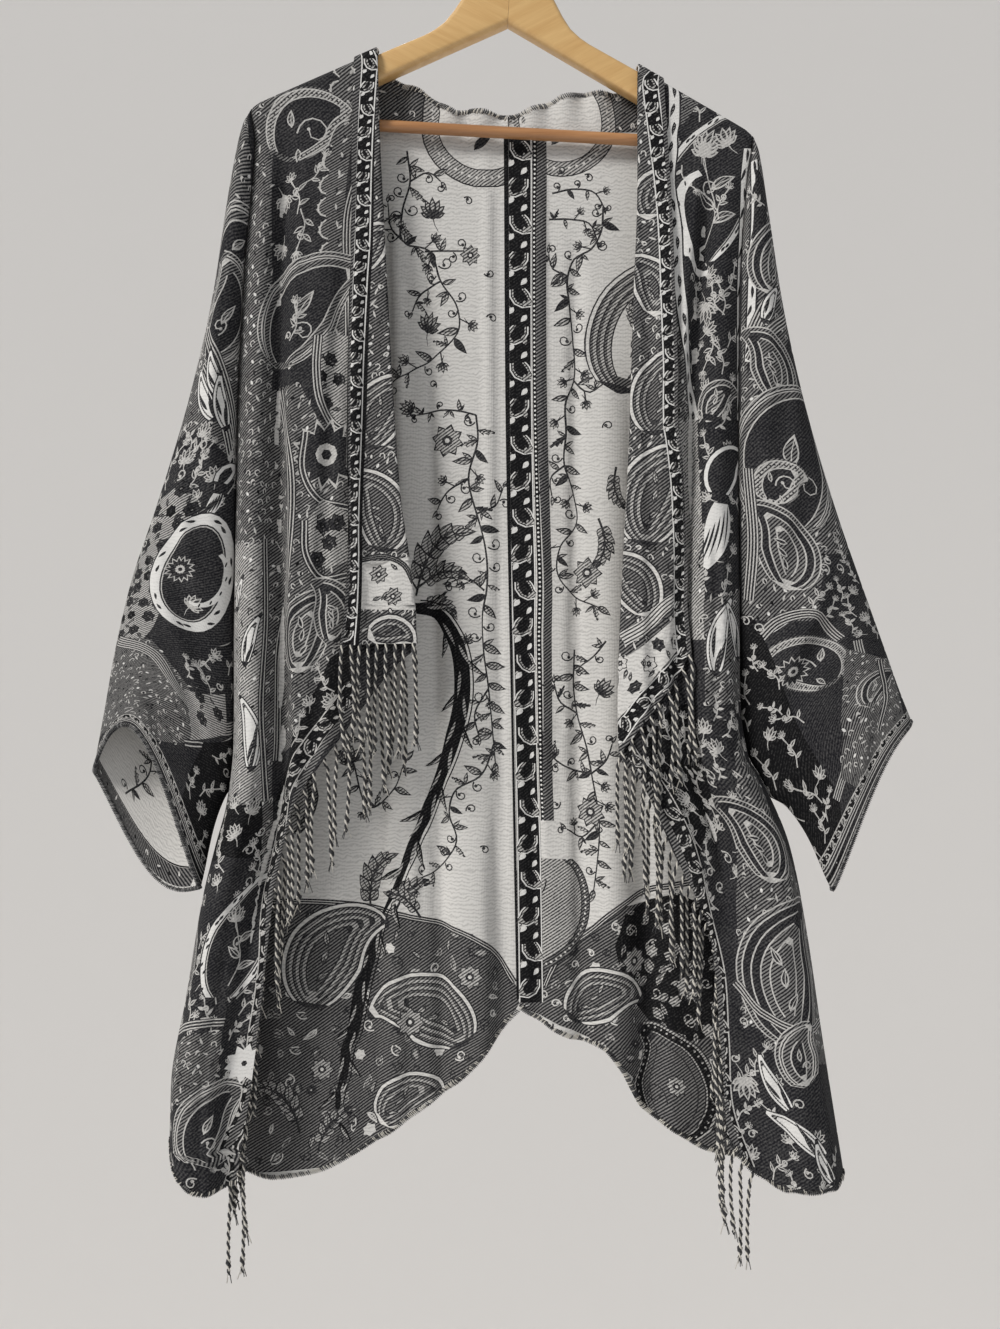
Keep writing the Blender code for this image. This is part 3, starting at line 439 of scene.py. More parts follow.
FRONT_RIGHT = [
    Area(GROUND, "sprigs", 26, [(660, 60), (745, 60), (745, 420), (690, 420)]),
    Area(HATCH, "squiggle", 9, [(630, 50), (662, 60), (672, 200), (690, 420), (690, 640), (630, 640)]),
    Area(HATCH, "squiggle", 9, [(672, 100), (700, 84), (740, 110), (752, 150), (735, 125), (700, 102),
                                (682, 128)]),
    Motif("white", 708, 196, 196, 6), Motif("bloom", 704, 146, 15, 20), Motif("bloom", 727, 142, 14, -30),
    Motif("sprig", 686, 178, 26, 160), Motif("crescent", 706, 224, 96),
    Motif("sprig", 722, 205, 30, 10, -1),
    Path("stripe", 9, [(662, 84), (672, 150), (677, 240), (686, 330), (697, 430)]),
    Path("stripe", 7, [(748, 150), (746, 250), (742, 330), (741, 420)]),
    Motif("bloom", 705, 305, 15, 180), Motif("sprig", 722, 300, 30), Motif("sprig", 708, 352, 36, 190, -1),
    Motif("ripple", 713, 402, 54, 10),
    Area(GROUND, "sprigs", 24, [(694, 420), (745, 420), (745, 620), (700, 620)]),
    Area(SOFT, "squiggle", 12, [(672, 420), (697, 420), (703, 540), (706, 640), (690, 640), (676, 540)]),
    Motif("comet", 722, 492, 116, 6),
    Area(HATCH, "squiggle", 10, [(704, 600), (745, 590), (745, 720), (706, 720)]),
    Motif("tear", 716, 650, 80, 8), Motif("tear", 736, 640, 60, -4, -1),
    Area(GROUND, "sprigs", 19, [(640, 715), (745, 700), (742, 900), (700, 900), (640, 780)]),
    Area(DEEP, "sprigs", 22, [(640, 730), (690, 700), (712, 800), (700, 860), (660, 800)]),
    Area(HATCH, "squiggle", 10, [(738, 730), (790, 860), (850, 1060), (745, 1060), (736, 900)]),
    Motif("ripple", 784, 985, 150, -14), Motif("ripple", 765, 850, 90, 10, -1),
    Path("lines", 9, [(735, 980), (760, 1010), (790, 1030), (835, 1020)]),
    Area(GROUND, "sprigs", 24, [(730, 1020), (760, 1030), (800, 1100), (845, 1200), (730, 1200)]),
    Motif("tear", 778, 1092, 60, -36), Motif("tear", 808, 1140, 70, -38, -1),
    Motif("tear", 826, 1172, 46, -30), Motif("bloom", 745, 1080, 16, 180),
    Motif("hatched", 800, 1066, 60, -20),
    Path("chain", 17, [(625, 745), (648, 772), (673, 815), (696, 880), (708, 960), (716, 1040),
                       (722, 1110), (730, 1180)]),
    Path("grey", 7, [(616, 752), (640, 780), (665, 822), (687, 886), (699, 960), (707, 1040), (714, 1110),
                     (722, 1180)]),
]

SLEEVE_LEFT = [
    Area(HATCH, "squiggle", 10, [(190, 100), (250, 100), (250, 470), (150, 470)]),
    Motif("hatched", 228, 252, 92, 24), Motif("hatched", 222, 330, 100, 30, -1),
    Path("lines", 12, [(196, 320), (214, 352), (230, 400), (238, 460)]),
    Path("lines", 12, [(190, 350), (206, 376), (224, 420), (236, 480)]),
    Motif("tear", 214, 382, 54, -40), Motif("tear", 206, 402, 60, -46), Motif("tear", 222, 410, 56, -34),
    Area(GROUND, "sprigs", 20, [(160, 440), (200, 428), (236, 470), (236, 520), (150, 520)]),
    Motif("comet", 221, 486, 54, 4), Motif("curl", 196, 452, 11), Motif("bloom", 184, 462, 11),
    Area(SOFT, "roses", 18, [(140, 500), (180, 486), (200, 500), (200, 560), (130, 660), (110, 640)]),
    Motif("medallion", 193, 578, 122, -6), Motif("dahlia", 180, 570, 15), Motif("bloom", 190, 606, 13, 30),
    Motif("crescent", 203, 580, 60, 8, -1),
    Area(HATCH, "squiggle", 9, [(110, 640), (150, 640), (190, 690), (190, 740), (100, 740)]),
    Path("lines", 14, [(118, 640), (150, 652), (180, 690), (200, 720), (236, 726)]),
    Area(GROUND, "sprigs", 20, [(180, 656), (240, 640), (240, 690), (190, 684)]),
    Area(SOFT, "roses", 24, [(184, 688), (224, 694), (226, 732), (190, 742)]),
    Path("lines", 8, [(184, 744), (206, 746), (232, 740)]),
    Area(DEEP, "sprigs", 29, [(204, 742), (242, 734), (242, 880), (180, 900), (180, 800)]),
    Path("vine", 9, [(120, 880), (150, 830), (164, 790)]),
]

SLEEVE_RIGHT = [
    Area(HATCH, "squiggle", 10, [(742, 130), (790, 200), (800, 330), (742, 420)]),
    Path("stripe", 7, [(754, 160), (756, 220), (752, 290), (748, 360)]),
    Area(GROUND, "sprigs", 22, [(756, 170), (768, 190), (764, 260), (752, 270)]),
    Motif("ripple", 772, 268, 92, 14),
    Path("lines", 12, [(752, 330), (770, 300), (790, 286)]),
    Path("lines", 12, [(750, 360), (772, 330), (800, 316)]),
    Motif("tear", 768, 308, 50, 24), Motif("ripple", 778, 372, 84, 20, -1),
    Area(HATCH, "squiggle", 10, [(742, 400), (810, 390), (850, 560), (810, 620), (742, 620)]),
    Motif("hatched", 786, 470, 172, 2), Motif("spiral", 776, 484, 58, 16),
    Motif("ripple", 790, 556, 96, 30, -1),
    Path("lines", 12, [(748, 470), (752, 540), (748, 600)]),
    Area(GROUND, "sprigs", 20, [(826, 556), (850, 556), (880, 640), (850, 650), (818, 600)]),
    Motif("tear", 774, 624, 50, 56),
    Path("lines", 12, [(756, 640), (778, 620), (812, 612), (840, 640)]),
    Motif("spiral", 815, 664, 96, -8, -1), Motif("dahlia", 792, 672, 18),
    Area(DEEP, "sprigs", 24, [(740, 612), (756, 620), (775, 660), (800, 730), (840, 800), (850, 880),
                              (810, 890), (740, 760)]),
    Path("lines", 12, [(858, 640), (866, 690), (850, 760), (838, 800)]),
    Area(HATCH, "squiggle", 9, [(846, 650), (890, 660), (905, 720), (860, 790), (840, 780)]),
    Motif("ripple", 872, 690, 66, 20),
    Path("lines", 8, [(880, 660), (886, 700), (880, 730)]),
]

LAPEL_LEFT = [
    Area(SOFT, "squiggle", 9, [(330, 40), (420, 40), (420, 560), (330, 560)]),
    Motif("ripple", 366, 250, 60), Motif("ripple", 376, 420, 90, 6), Motif("ripple", 384, 520, 90, 10, -1),
    Area(GROUND, "", 0, [(362, 566), (420, 556), (424, 606), (360, 606)]),
    Motif("flower", 379, 575, 9), Motif("flower", 393, 595, 9, 20), Motif("leaf", 386, 590, 9, 200),
    Motif("leaf", 372, 600, 10, 60), Motif("leaf", 398, 570, 9, 300),
    Path("ring", 5, [(360, 562), (384, 558), (404, 566), (420, 584)]),
    Area(SOFT, "squiggle", 9, [(352, 608), (424, 608), (424, 660), (352, 660)]),
    Motif("ripple", 384, 632, 50, 60),
    Path("line", 4, [(374, 50), (372, 160), (368, 300), (364, 420), (360, 540), (357, 650)]),
    Path("chain", 15, [(366, 50), (364, 160), (359, 300), (355, 420), (351, 540), (347, 650)]),
    Path("grey", 5, [(357, 50), (354, 160), (349, 300), (345, 420), (342, 540), (338, 650)]),
]

LAPEL_RIGHT = [
    Area(SOFT, "squiggle", 9, [(610, 40), (705, 40), (705, 760), (610, 760)]),
    Motif("ripple", 650, 200, 60), Motif("ripple", 655, 290, 70, 10, -1), Motif("ripple", 658, 400, 100),
    Motif("ripple", 652, 500, 120, 6), Motif("ripple", 640, 590, 80, -10, -1),
    Path("lines", 12, [(622, 640), (645, 628), (668, 604), (690, 590)]),
    Area(GROUND, "roses", 22, [(618, 660), (650, 640), (678, 615), (678, 650), (640, 692), (616, 720)]),
    Path("chain", 15, [(614, 740), (640, 706), (664, 680), (690, 652)]),
    Path("chain", 15, [(658, 70), (664, 200), (670, 330), (676, 460), (680, 560), (684, 660)]),
    Path("grey", 6, [(668, 70), (675, 200), (681, 330), (687, 460), (692, 560), (696, 660)]),
]


def cubic(value, t, rise, start, end):
    """A value on a cubic curve, from the rise over a stretch and the slopes at its ends."""
    return value + t * (start + t * (3 * rise - 2 * start - end + t * (start + end - 2 * rise)))


def unit(vectors):
    return vectors / np.linalg.norm(vectors, axis=1, keepdims=True)


def reach_of(points):
    """How far along a run of points each of them lies."""
    return np.concatenate([[0], np.cumsum(np.linalg.norm(np.diff(points, axis=0), axis=1))])


def along(rows, column, at):
    """A table column as a smooth curve over the table's first column."""
    places = np.array([row[0] for row in rows], float)
    values = np.array([getattr(row, column) for row in rows], float)
    at = np.clip(np.asarray(at, float), places[0], places[-1])
    slopes = np.diff(values) / np.diff(places)
    tangents = np.concatenate([slopes[:1], np.zeros(len(slopes) - 1), slopes[-1:]])
    for i in range(1, len(slopes)):
        if slopes[i - 1] * slopes[i] > 0:
            tangents[i] = 2 * slopes[i - 1] * slopes[i] / (slopes[i - 1] + slopes[i])
    i = np.clip(np.searchsorted(places, at) - 1, 0, len(slopes) - 1)
    span = places[i + 1] - places[i]
    t = (at - places[i]) / span
    return cubic(values[i], t, values[i + 1] - values[i], tangents[i] * span, tangents[i + 1] * span)


def ease(low, high, at):
    """A smooth step from 0 to 1."""
    t = np.clip((at - low) / (high - low), 0, 1)
    return t * t * (3 - 2 * t)


def hanger_point(x, up, depth=0.0):
    """A point of the tilted hanger, from its own sideways and upward distances off the wood's apex."""
    below = APEX_DROP - up
    return (x * math.cos(TILT) - below * math.sin(TILT), depth, -x * math.sin(TILT) - below * math.cos(TILT))


def crest(side, out):
    """Drop of the cloth's top line over the wood."""
    outs = []
    drops = []
    for x, up in CREST_OUTLINE:
        at = hanger_point(side.sign * x, up + CAP_RISE)
        outs.append(side.sign * (at[0] - CENTRE_X))
        drops.append(-at[2])
    return np.interp(out, outs, drops)


def cap(below):
    """Share of the full depth that the cloth has at a distance below its top line."""
    t = np.clip(below / CAP, 0, 1)
    return (1 - (1 - t) ** 3) ** (1 / 3)


CAP_FALL = CAP * np.linspace(0, 1, 200) ** 3
CAP_ARC = np.concatenate([[0], np.cumsum(np.hypot(np.diff(CAP_FALL), np.diff(CAP * cap(CAP_FALL))))])


def folded(folds, from_edge, drop):
    """Sum of the folds, each a smooth ridge that runs down the cloth at a distance from one edge."""
    total = 0
    for fold in folds:
        share = np.clip((drop - fold.top) / (min(fold.low, FOLD_LIMIT) - fold.top), 0, 1)
        middle = fold.edge_top + (fold.edge_low - fold.edge_top) * share
        half = fold.half_top + (fold.half_low - fold.half_top) * share
        depth = fold.depth_top + (fold.depth_low - fold.depth_top) * share
        fade = ease(fold.top, fold.top + FOLD_IN, drop) * (1 - ease(fold.low - FOLD_OUT, fold.low, drop))
        q = np.clip(np.abs(from_edge - middle) / half, 0, 1)
        total = total + depth * fade * (1 - q * q) ** 2
    return total


def slot(side, drop):
    """Half the depth of the slot into the sleeve; nothing below the underarm."""
    return HOLE * (1 - ease(side.underarm - UNDERARM_EASE, side.underarm, drop)) + SEAM / 2


def turned_in(side, depth, from_side, drop, hang):
    """Depth of a body panel, brought in to the slot or seam at its side."""
    turn = np.clip(from_side / SIDE_ROUND, 0, 1)
    edge = np.maximum(slot(side, drop) * hang, SEAM / 2)
    return edge + (depth - edge) * np.sqrt(1 - (1 - turn) ** 2)


def placed(side, out, depth, drop):
    """Points in metres, from distances on the garment."""
    return np.stack([CENTRE_X + side.sign * out, depth + 0 * out, -drop], axis=-1) * MM


def front_top(side, across):
    edges = side.front[0]
    return crest(side, edges.inner + (edges.outer - edges.inner) * across)


def front_face(side, across, drop):
    """Outer face of a front, from its front edge (across 0) to the armhole."""
    top = front_top(side, across)
    inner = along(side.front, "inner", drop)
    outer = along(side.front, "outer", drop)
    out = inner + (outer - inner) * across
    hang = cap(drop - top)
    depth = CAP * hang + FRONT_SAG * ease(0, 500, drop - top) + folded(side.front_folds, outer - out, drop)
    depth = np.maximum(depth, SEAM / 2)
    return placed(side, out, -turned_in(side, depth, outer - out, drop, hang), drop)


def back_top(side, across):
    """Drop of the back's top edge: the neck edge, then up over the wood, then along it."""
    out = side.front[0].outer * across
    outs = [row.place for row in side.neck]
    drops = [row.drop for row in side.neck]
    for climb, below in ((7, 11), (4, 3), (2, 0.6), (0, 0)):
        outs.append(NECK_OUT - climb)
        drops.append(float(crest(side, NECK_OUT - climb)) + below)
    return np.where(out > NECK_OUT, crest(side, out), np.interp(out, outs, drops))


def back_face(side, across, drop):
    """Outer face of half the back, from the centre seam (across 0) to the armhole."""
    top_out = side.front[0].outer * across
    inner = side.sign * along(SEAM_LINE, "drop", drop) + SEAM / 2
    outer = along(side.front, "outer", drop)
    out = inner + (outer - inner) * across
    below = drop - crest(side, top_out)
    hang = cap(below)
    gathers = RUFFLE * np.sin(2 * math.pi * top_out / RUFFLE_PITCH) * ease(0, 12, NECK_OUT - 14 - top_out)
    depth = CAP * hang + BACK_SAG * ease(30, 500, below) + folded(side.back_folds, out - inner, drop)
    depth = np.maximum(depth + gathers * np.exp(-np.abs(drop - back_top(side, across)) / 24), SEAM / 2)
    return placed(side, out, turned_in(side, depth, outer - out, drop, hang), drop)


def sleeve_face(side, around, down):
    """Outer face of a sleeve, around from the front armhole (0) over the outer fold (1) to the back (2)."""
    column = {name: along(side.sleeve, name, down) for name in SleeveRow._fields[1:]}
    is_front = around <= 1
    e = (1 - np.cos(math.pi * np.where(is_front, around, 2 - around))) / 2
    beside_body = along(side.front, "outer", column["inner_drop"]) + ARMHOLE_GAP
    inner_out = np.maximum(column["inner_out"], beside_body)
    swell = np.sin(math.pi * np.clip(e, 0, 1))
    lift = np.where(is_front, column["front_lift"], column["back_lift"])
    bulge = np.where(is_front, -column["front"], column["back"])
    hang = cap(column["inner_drop"] - crest(side, side.front[0].outer))
    edge = np.where(is_front, -1, 1) * np.maximum(slot(side, column["inner_drop"]) * hang, SEAM / 2) * (1 - e)
    bulge = bulge * swell ** 0.55
    reach = SLEEVE_WIDE_TOP + (SLEEVE_WIDE_LOW - SLEEVE_WIDE_TOP) * down
    for crease in side.creases:
        run = np.array([(crease.to_around - crease.around) * CREASE_WIDE,
                        (crease.to_down - crease.down) * SLEEVE_LENGTH])
        x = (around - crease.around) * reach
        y = (down - crease.down) * SLEEVE_LENGTH
        t = (x * run[0] + y * run[1]) / (run @ run)
        q = np.clip(np.abs(x * run[1] - y * run[0]) / np.linalg.norm(run) / crease.half, 0, 1)
        fade = ease(-0.15, 0.15, t) * (1 - ease(0.75, 1.1, t)) * swell ** 2
        bulge = bulge + np.where(is_front, -1, 1) * crease.depth * fade * (1 - q * q) ** 2
    out = inner_out + (column["outer_out"] - inner_out) * e
    drop = column["inner_drop"] + (column["outer_drop"] - column["inner_drop"]) * e - lift * swell
    return placed(side, out, edge + bulge, drop)


def lapel_share(side, across, drop):
    """Where on the front's width a place on the lapel lies."""
    width = along(side.front, "outer", drop) - along(side.front, "inner", drop)
    return np.clip(across, 0, 1) * along(side.lapel, "width", drop) / width


def lapel_top(side, across):
    return front_top(side, lapel_share(side, across, side.front[0].drop))


def lapel_face(side, across, drop):
    """Outer face of a turned-out front edge: the front's own points, moved out, and rolled in at the fold.

    They move less to the side than straight out of the front, so that the face doesn't cross itself in a
    valley.
    """
    share = lapel_share(side, across, drop)
    drop = np.maximum(drop, front_top(side, share))
    points = front_face(side, share, drop)
    ahead = facing(front_face, side, share, drop, DROP_STEPS, front_top(side, share), drop + 1)
    ahead = ahead * (LAPEL_LEAN, 1, 1)
    spread = ease(0, LAPEL_SPREAD, drop - crest(side, NECK_OUT))
    lift = WALL + LAPEL_GAP + LAPEL_LIFT * np.clip(across, 0, 1) ** 2 * spread
    turn = np.clip(-across / ROLL, 0, 1) * math.pi
    aside = np.zeros(points.shape)
    aside[..., 0] = -side.sign
    lift = lift[..., None] * MM
    turn = turn[..., None]
    return points + ahead * lift * (1 + np.cos(turn)) / 2 + aside * lift / 2 * np.sin(turn)


def facing(face, side, a, b, steps, top, low, a_low=0.0, a_high=1.0):
    """Unit normals of a face, to the garment's outside, from small steps along its two parameters."""
    before = np.clip(a - steps[0], a_low, a_high)
    after = np.clip(a + steps[0], a_low, a_high)
    above = np.clip(b - steps[1], top, low)
    below = np.clip(b + steps[1], top, low)
    n = np.cross(face(side, after, b) - face(side, before, b), face(side, a, below) - face(side, a, above))
    n = n / np.maximum(np.linalg.norm(n, axis=-1, keepdims=True), 1e-12)
    return n * side.sign * (1 if face is back_face else -1)


class Cloth:
    """A piece of cloth: a face over two parameters, with flat millimetres u and v on it."""

    def __init__(self, name, side, face, across, top, low, crest_of=None, origin=-1):
        self.name = name
        self.side = side
        self.face = face
        self.across = across
        self.top = top
        self.low = low
        self.crest_of = crest_of
        self.columns = np.linspace(*across, COLUMNS + 1)
        v_low = self.v_of(self.columns, top(side, self.columns))
        v_high = self.v_of(self.columns, low(side, self.columns))
        self.rows = np.arange(v_low.min() - 2 * ROW, v_high.max() + 3 * ROW, ROW)
        a, v = np.meshgrid(self.columns, self.rows)
        b = self.b_of(a, v)
        inside = (b >= top(side, a)) & (b <= low(side, a))
        points = face(side, a, np.clip(b, top(side, a), low(side, a)))
        steps = np.linalg.norm(np.diff(points, axis=1), axis=-1) / MM
        plain = np.abs(np.diff(points[..., 0], axis=1)) / MM
        steps = np.where(inside[:, 1:] & inside[:, :-1], steps, plain)
        lengths = np.concatenate([np.zeros((len(self.rows), 1)), np.cumsum(steps, axis=1)], axis=1)
        start = int(round((origin - across[0]) / (across[1] - across[0]) * COLUMNS))
        self.u = side.sign * (lengths - lengths[:, [start]])
        self.seen = self.photo_places(points)
        if face is sleeve_face:
            self.seen[a > 1] = UNSEEN
        if side.sign < 0:
            self.columns = self.columns[::-1]
            self.u = self.u[:, ::-1]
            self.seen = self.seen[:, ::-1]

    def v_of(self, a, b):
        """The flat length down to a parameter; cloth over the wood is longer than it drops."""
        if self.crest_of is None:
            return b * SLEEVE_LENGTH
        return b + np.interp(b - self.crest_of(self.side, a), CAP_FALL, CAP_ARC - CAP_FALL)

    def b_of(self, a, v):
        """The parameter at a flat length down."""
        if self.crest_of is None:
            return v / SLEEVE_LENGTH
        top = self.crest_of(self.side, a)
        over_wood = top + np.interp(v - top, CAP_ARC, CAP_FALL)
        return np.where(v - top < CAP_ARC[-1], over_wood, v - CAP_ARC[-1] + CAP)

    @staticmethod
    def photo_places(points):
        """Photo pixels at which points are seen."""
        shrink = VIEW_DISTANCE / PIXEL / (VIEW_DISTANCE + points[..., 1] / MM)
        px = PHOTO_WIDE / 2 + (points[..., 0] / MM - CAMERA_X) * shrink
        py = PHOTO_HIGH / 2 + (-points[..., 2] / MM - CAMERA_DROP) * shrink
        return np.stack([px, py], axis=-1)

    def at(self, px, py):
        """The flat place that the photo shows at a pixel."""
        gap = np.square(self.seen - (px, py)).sum(axis=-1)
        r, c = np.unravel_index(np.argmin(gap), gap.shape)
        return np.array([self.u[r, c], self.rows[r]])

    def between_rows(self, v, pick):
        """A value looked up on the table's rows above and below each v."""
        k = np.clip(((v - self.rows[0]) / ROW).astype(int), 0, len(self.rows) - 2)
        share = (v - self.rows[k]) / ROW
        found = np.empty(len(v))
        for row in np.unique(k):
            here = k == row
            above = pick(row, here)
            found[here] = above + (pick(row + 1, here) - above) * share[here]
        return found

    def across_at(self, u, v):
        return self.between_rows(v, lambda row, here: np.interp(u[here], self.u[row], self.columns))

    def params(self, u, v):
        """The two parameters of flat places."""
        a = self.across_at(u, v)
        return a, np.clip(self.b_of(a, v), self.top(self.side, a), self.low(self.side, a))

    def flat(self, a, b):
        """The flat places of parameters."""
        order = self.side.sign
        v = self.v_of(a, b)
        u = self.between_rows(
            v, lambda row, here: np.interp(a[here], self.columns[::order], self.u[row, ::order]))
        return np.stack([u, v], axis=-1)

    def inside(self, spots):
        """Which flat places lie on the cloth, its edge included."""
        u, v = spots[:, 0], spots[:, 1]
        first = self.between_rows(v, lambda row, here: self.u[row, 0])
        last = self.between_rows(v, lambda row, here: self.u[row, -1])
        a = self.across_at(u, v)
        b = self.b_of(a, v)
        slack = EDGE_SLACK if self.crest_of else SHARE_SLACK
        fits = (b > self.top(self.side, a) - slack) & (b < self.low(self.side, a) + slack)
        return fits & (u > first - EDGE_SLACK) & (u < last + EDGE_SLACK)

    def outline(self):
        """The cloth's edge on the flat, as a closed run of points."""
        a = np.linspace(*self.across, COLUMNS + 1)
        top = self.flat(a, self.top(self.side, a))
        low = self.flat(a, self.low(self.side, a))
        ends = []
        for end in (a[-1:], a[:1]):
            limits = [self.v_of(end, f(self.side, end))[0] for f in (self.top, self.low)]
            v = self.rows[(self.rows > limits[0] + 0.5) & (self.rows < limits[1] - 0.5)]
            ends.append(self.flat(np.full(len(v), end[0]), self.b_of(np.full(len(v), end[0]), v)))
        return np.concatenate([top, ends[0], low[::-1], ends[1][::-1]])

    def turns(self):
        """Flat places close to the edges and folds where the cloth turns sharply."""
        spots = []
        ends = (0.0, 1.0, 2.0) if self.face is sleeve_face else self.across[1:]
        for end in ends:
            a = np.full(len(self.rows), end)
            b = np.clip(self.b_of(a, self.rows), self.top(self.side, a), self.low(self.side, a))
            for off in TURN_STEPS:
                spots.extend((self.flat(a, b) - (off, 0), self.flat(a, b) + (off, 0)))
        if self.crest_of is not None:
            for off in TURN_STEPS:
                spots.append(self.flat(self.columns, self.top(self.side, self.columns)) + (0, off))
        spots = np.concatenate(spots)
        return spots[self.inside(spots)]

    def surface(self, a, b):
        """Points of the outer face in metres, and its normals."""
        steps = DROP_STEPS if self.crest_of else SHARE_STEPS
        limits = self.top(self.side, a), self.low(self.side, a)
        return self.face(self.side, a, b), facing(self.face, self.side, a, b, steps, *limits, *self.across)


class Drawing:
    """Motifs on one piece of cloth: closed outlines with a tone each, later ones over earlier ones."""

    def __init__(self, pale=False):
        self.pale = pale
        self.outlines = []
        self.tones = []

    def fill(self, points, tone):
        self.outlines.append(np.asarray(points, float))
        self.tones.append(tone)

    def line(self, points, width, tone, tip=0.4):
        """A ribbon along points, narrower at its far end."""
        points = np.asarray(points, float)
        ahead = np.gradient(points, axis=0)
        length = np.linalg.norm(ahead, axis=1, keepdims=True)
        off = np.stack([-ahead[:, 1], ahead[:, 0]], axis=1) / np.maximum(length, 1e-9)
        half = width / 2 * np.linspace(1, tip, len(points))[:, None]
        self.fill(np.concatenate([points + off * half, (points - off * half)[::-1]]), tone)

    def clear_of(self, edge, margin):
        """Drops the outlines that come near an edge."""
        clear = []
        for points in self.outlines:
            near = (edge > points.min(axis=0) - margin) & (edge < points.max(axis=0) + margin)
            clear.append(not near.all(axis=1).any())
        self.tones = [tone for tone, good in zip(self.tones, clear) if good]
        self.outlines = [points for points, good in zip(self.outlines, clear) if good]


def smooth(points, step=4.0):
    """A smooth curve through points, as points a step apart."""
    points = np.asarray(points, float)
    reach = reach_of(points)
    count = max(int(reach[-1] / step), 2)
    ahead = np.gradient(points, reach, axis=0)
    at = np.linspace(0, reach[-1], count + 1)
    i = np.clip(np.searchsorted(reach, at) - 1, 0, len(points) - 2)
    span = (reach[i + 1] - reach[i])[:, None]
    t = ((at - reach[i]) / span[:, 0])[:, None]
    return cubic(points[i], t, points[i + 1] - points[i], ahead[i] * span, ahead[i + 1] * span)


def put(points, at, turn, hand=1):
    """Points of a motif that stands upright at the origin, turned clockwise by degrees and moved."""
    points = np.asarray(points, float) * (hand, 1)
    c = math.cos(math.radians(turn))
    s = math.sin(math.radians(turn))
    return points @ np.array([[c, s], [-s, c]]) + at


def point_of(x, y, at, turn, hand=1):
    """Where one point of a motif comes to lie."""
    return put([(x, y)], at, turn, hand)[0]


def oval(wide, high, count=14):
    angles = np.linspace(0, 2 * math.pi, count, endpoint=False)
    return np.stack([wide / 2 * np.cos(angles), high / 2 * np.sin(angles)], axis=1)


def drop_outline(length, width, bend, inset=0.0):
    """A bent drop: a round end below, and a tip that curls over to the right."""
    t = np.linspace(0, 1, int(np.clip(length / 4.5, 7, 24)))
    heading = bend * t ** 1.7
    step = length / (len(t) - 1)
    spine = np.stack([np.cumsum(np.sin(heading)), -np.cumsum(np.cos(heading))], axis=1) * step
    spine -= spine[len(t) // 3]
    head = 0.42
    taper = np.clip((t - head) / (1 - head), 0, 1)
    rounded = np.sqrt(np.maximum(1 - (1 - t / head) ** 2, 0))
    half = np.where(t < head, rounded, 1 - taper ** 1.5) * width / 2 - inset
    keep = half > 0.05 * width / 2
    off = np.stack([np.cos(heading), np.sin(heading)], axis=1) * half[:, None]
    return np.concatenate([(spine - off)[keep], (spine + off)[keep][::-1]])


def leaf_outline(length, width, bend=0.15, teeth=0):
    """A pointed leaf that grows upwards from the origin; teeth make its edge ragged."""
    count = 2 if length < 7 else 3 if length < 14 else 5
    if teeth:
        count = 2 * teeth + 1
    t = np.linspace(0, 1, count + 2)
    half = width / 2 * np.sin(math.pi * t ** 0.8)
    back = np.zeros(len(t))
    if teeth:
        half[2:-1:2] *= 0.55
        back[1:-1:2] = 0.10
        back[2:-1:2] = -0.02
    spine = bend * length * t ** 2
    rise = -length * (t + back)
    left = np.stack([spine - half, rise], axis=1)
    right = np.stack([spine + half, rise], axis=1)
    return np.concatenate([left, right[-2:0:-1]])


def leaf(d, at, turn, length, width=None, fill=HATCH, teeth=0, bend=0.15, tone=LINE):
    """A leaf that grows from a place; a large one has a filled middle and a rib."""
    width = width or length * 0.42
    d.fill(put(leaf_outline(length, width, bend, teeth), at, turn), tone)
    if width > 3.4 and length > 8:
        base = point_of(0, -length * 0.12, at, turn)
        d.fill(put(leaf_outline(length * 0.76, width - 2.4, bend, teeth), base, turn), fill)
        if length > 14:
            rib = [(0, 0), (bend * length * 0.25, -length * 0.45), (bend * length, -length * 0.9)]
            d.line(put(rib, at, turn), 1.2, tone)


def curl(d, at, size, turn, hand, tone=LINE):
    """A tendril that bends over more and more, and ends in a dot."""
    bends = math.radians(330) * np.linspace(0, 1, 10) ** 1.6
    points = np.cumsum(np.stack([np.sin(bends), -np.cos(bends)], axis=1), axis=0) * size * 0.24
    d.line(put(points, at, turn, hand), 1.4, tone, 0.8)
    d.fill(put(oval(3.4, 3.4, 6) + points[-1], at, turn, hand), tone)


def flower(d, at, size, turn, petals=8, fill=HATCH, tone=LINE, core=GROUND):
    """A flower from above: petals round a ringed core."""
    for k in range(petals):
        angle = turn + 360 * k / petals
        d.fill(put(leaf_outline(size, size * 5.2 / petals + 0.6, 0.08), at, angle), tone)
    for k in range(petals if size > 7 else 0):
        angle = turn + 360 * k / petals
        base = point_of(0, -size * 0.24, at, angle)
        d.fill(put(leaf_outline(size * 0.62, max(size * 5.2 / petals - 1.6, 0.9), 0.08), base, angle), fill)
    d.fill(put(oval(size * 0.62, size * 0.62, 8), at, turn), tone)
    d.fill(put(oval(size * 0.3, size * 0.3, 6), at, turn), core)


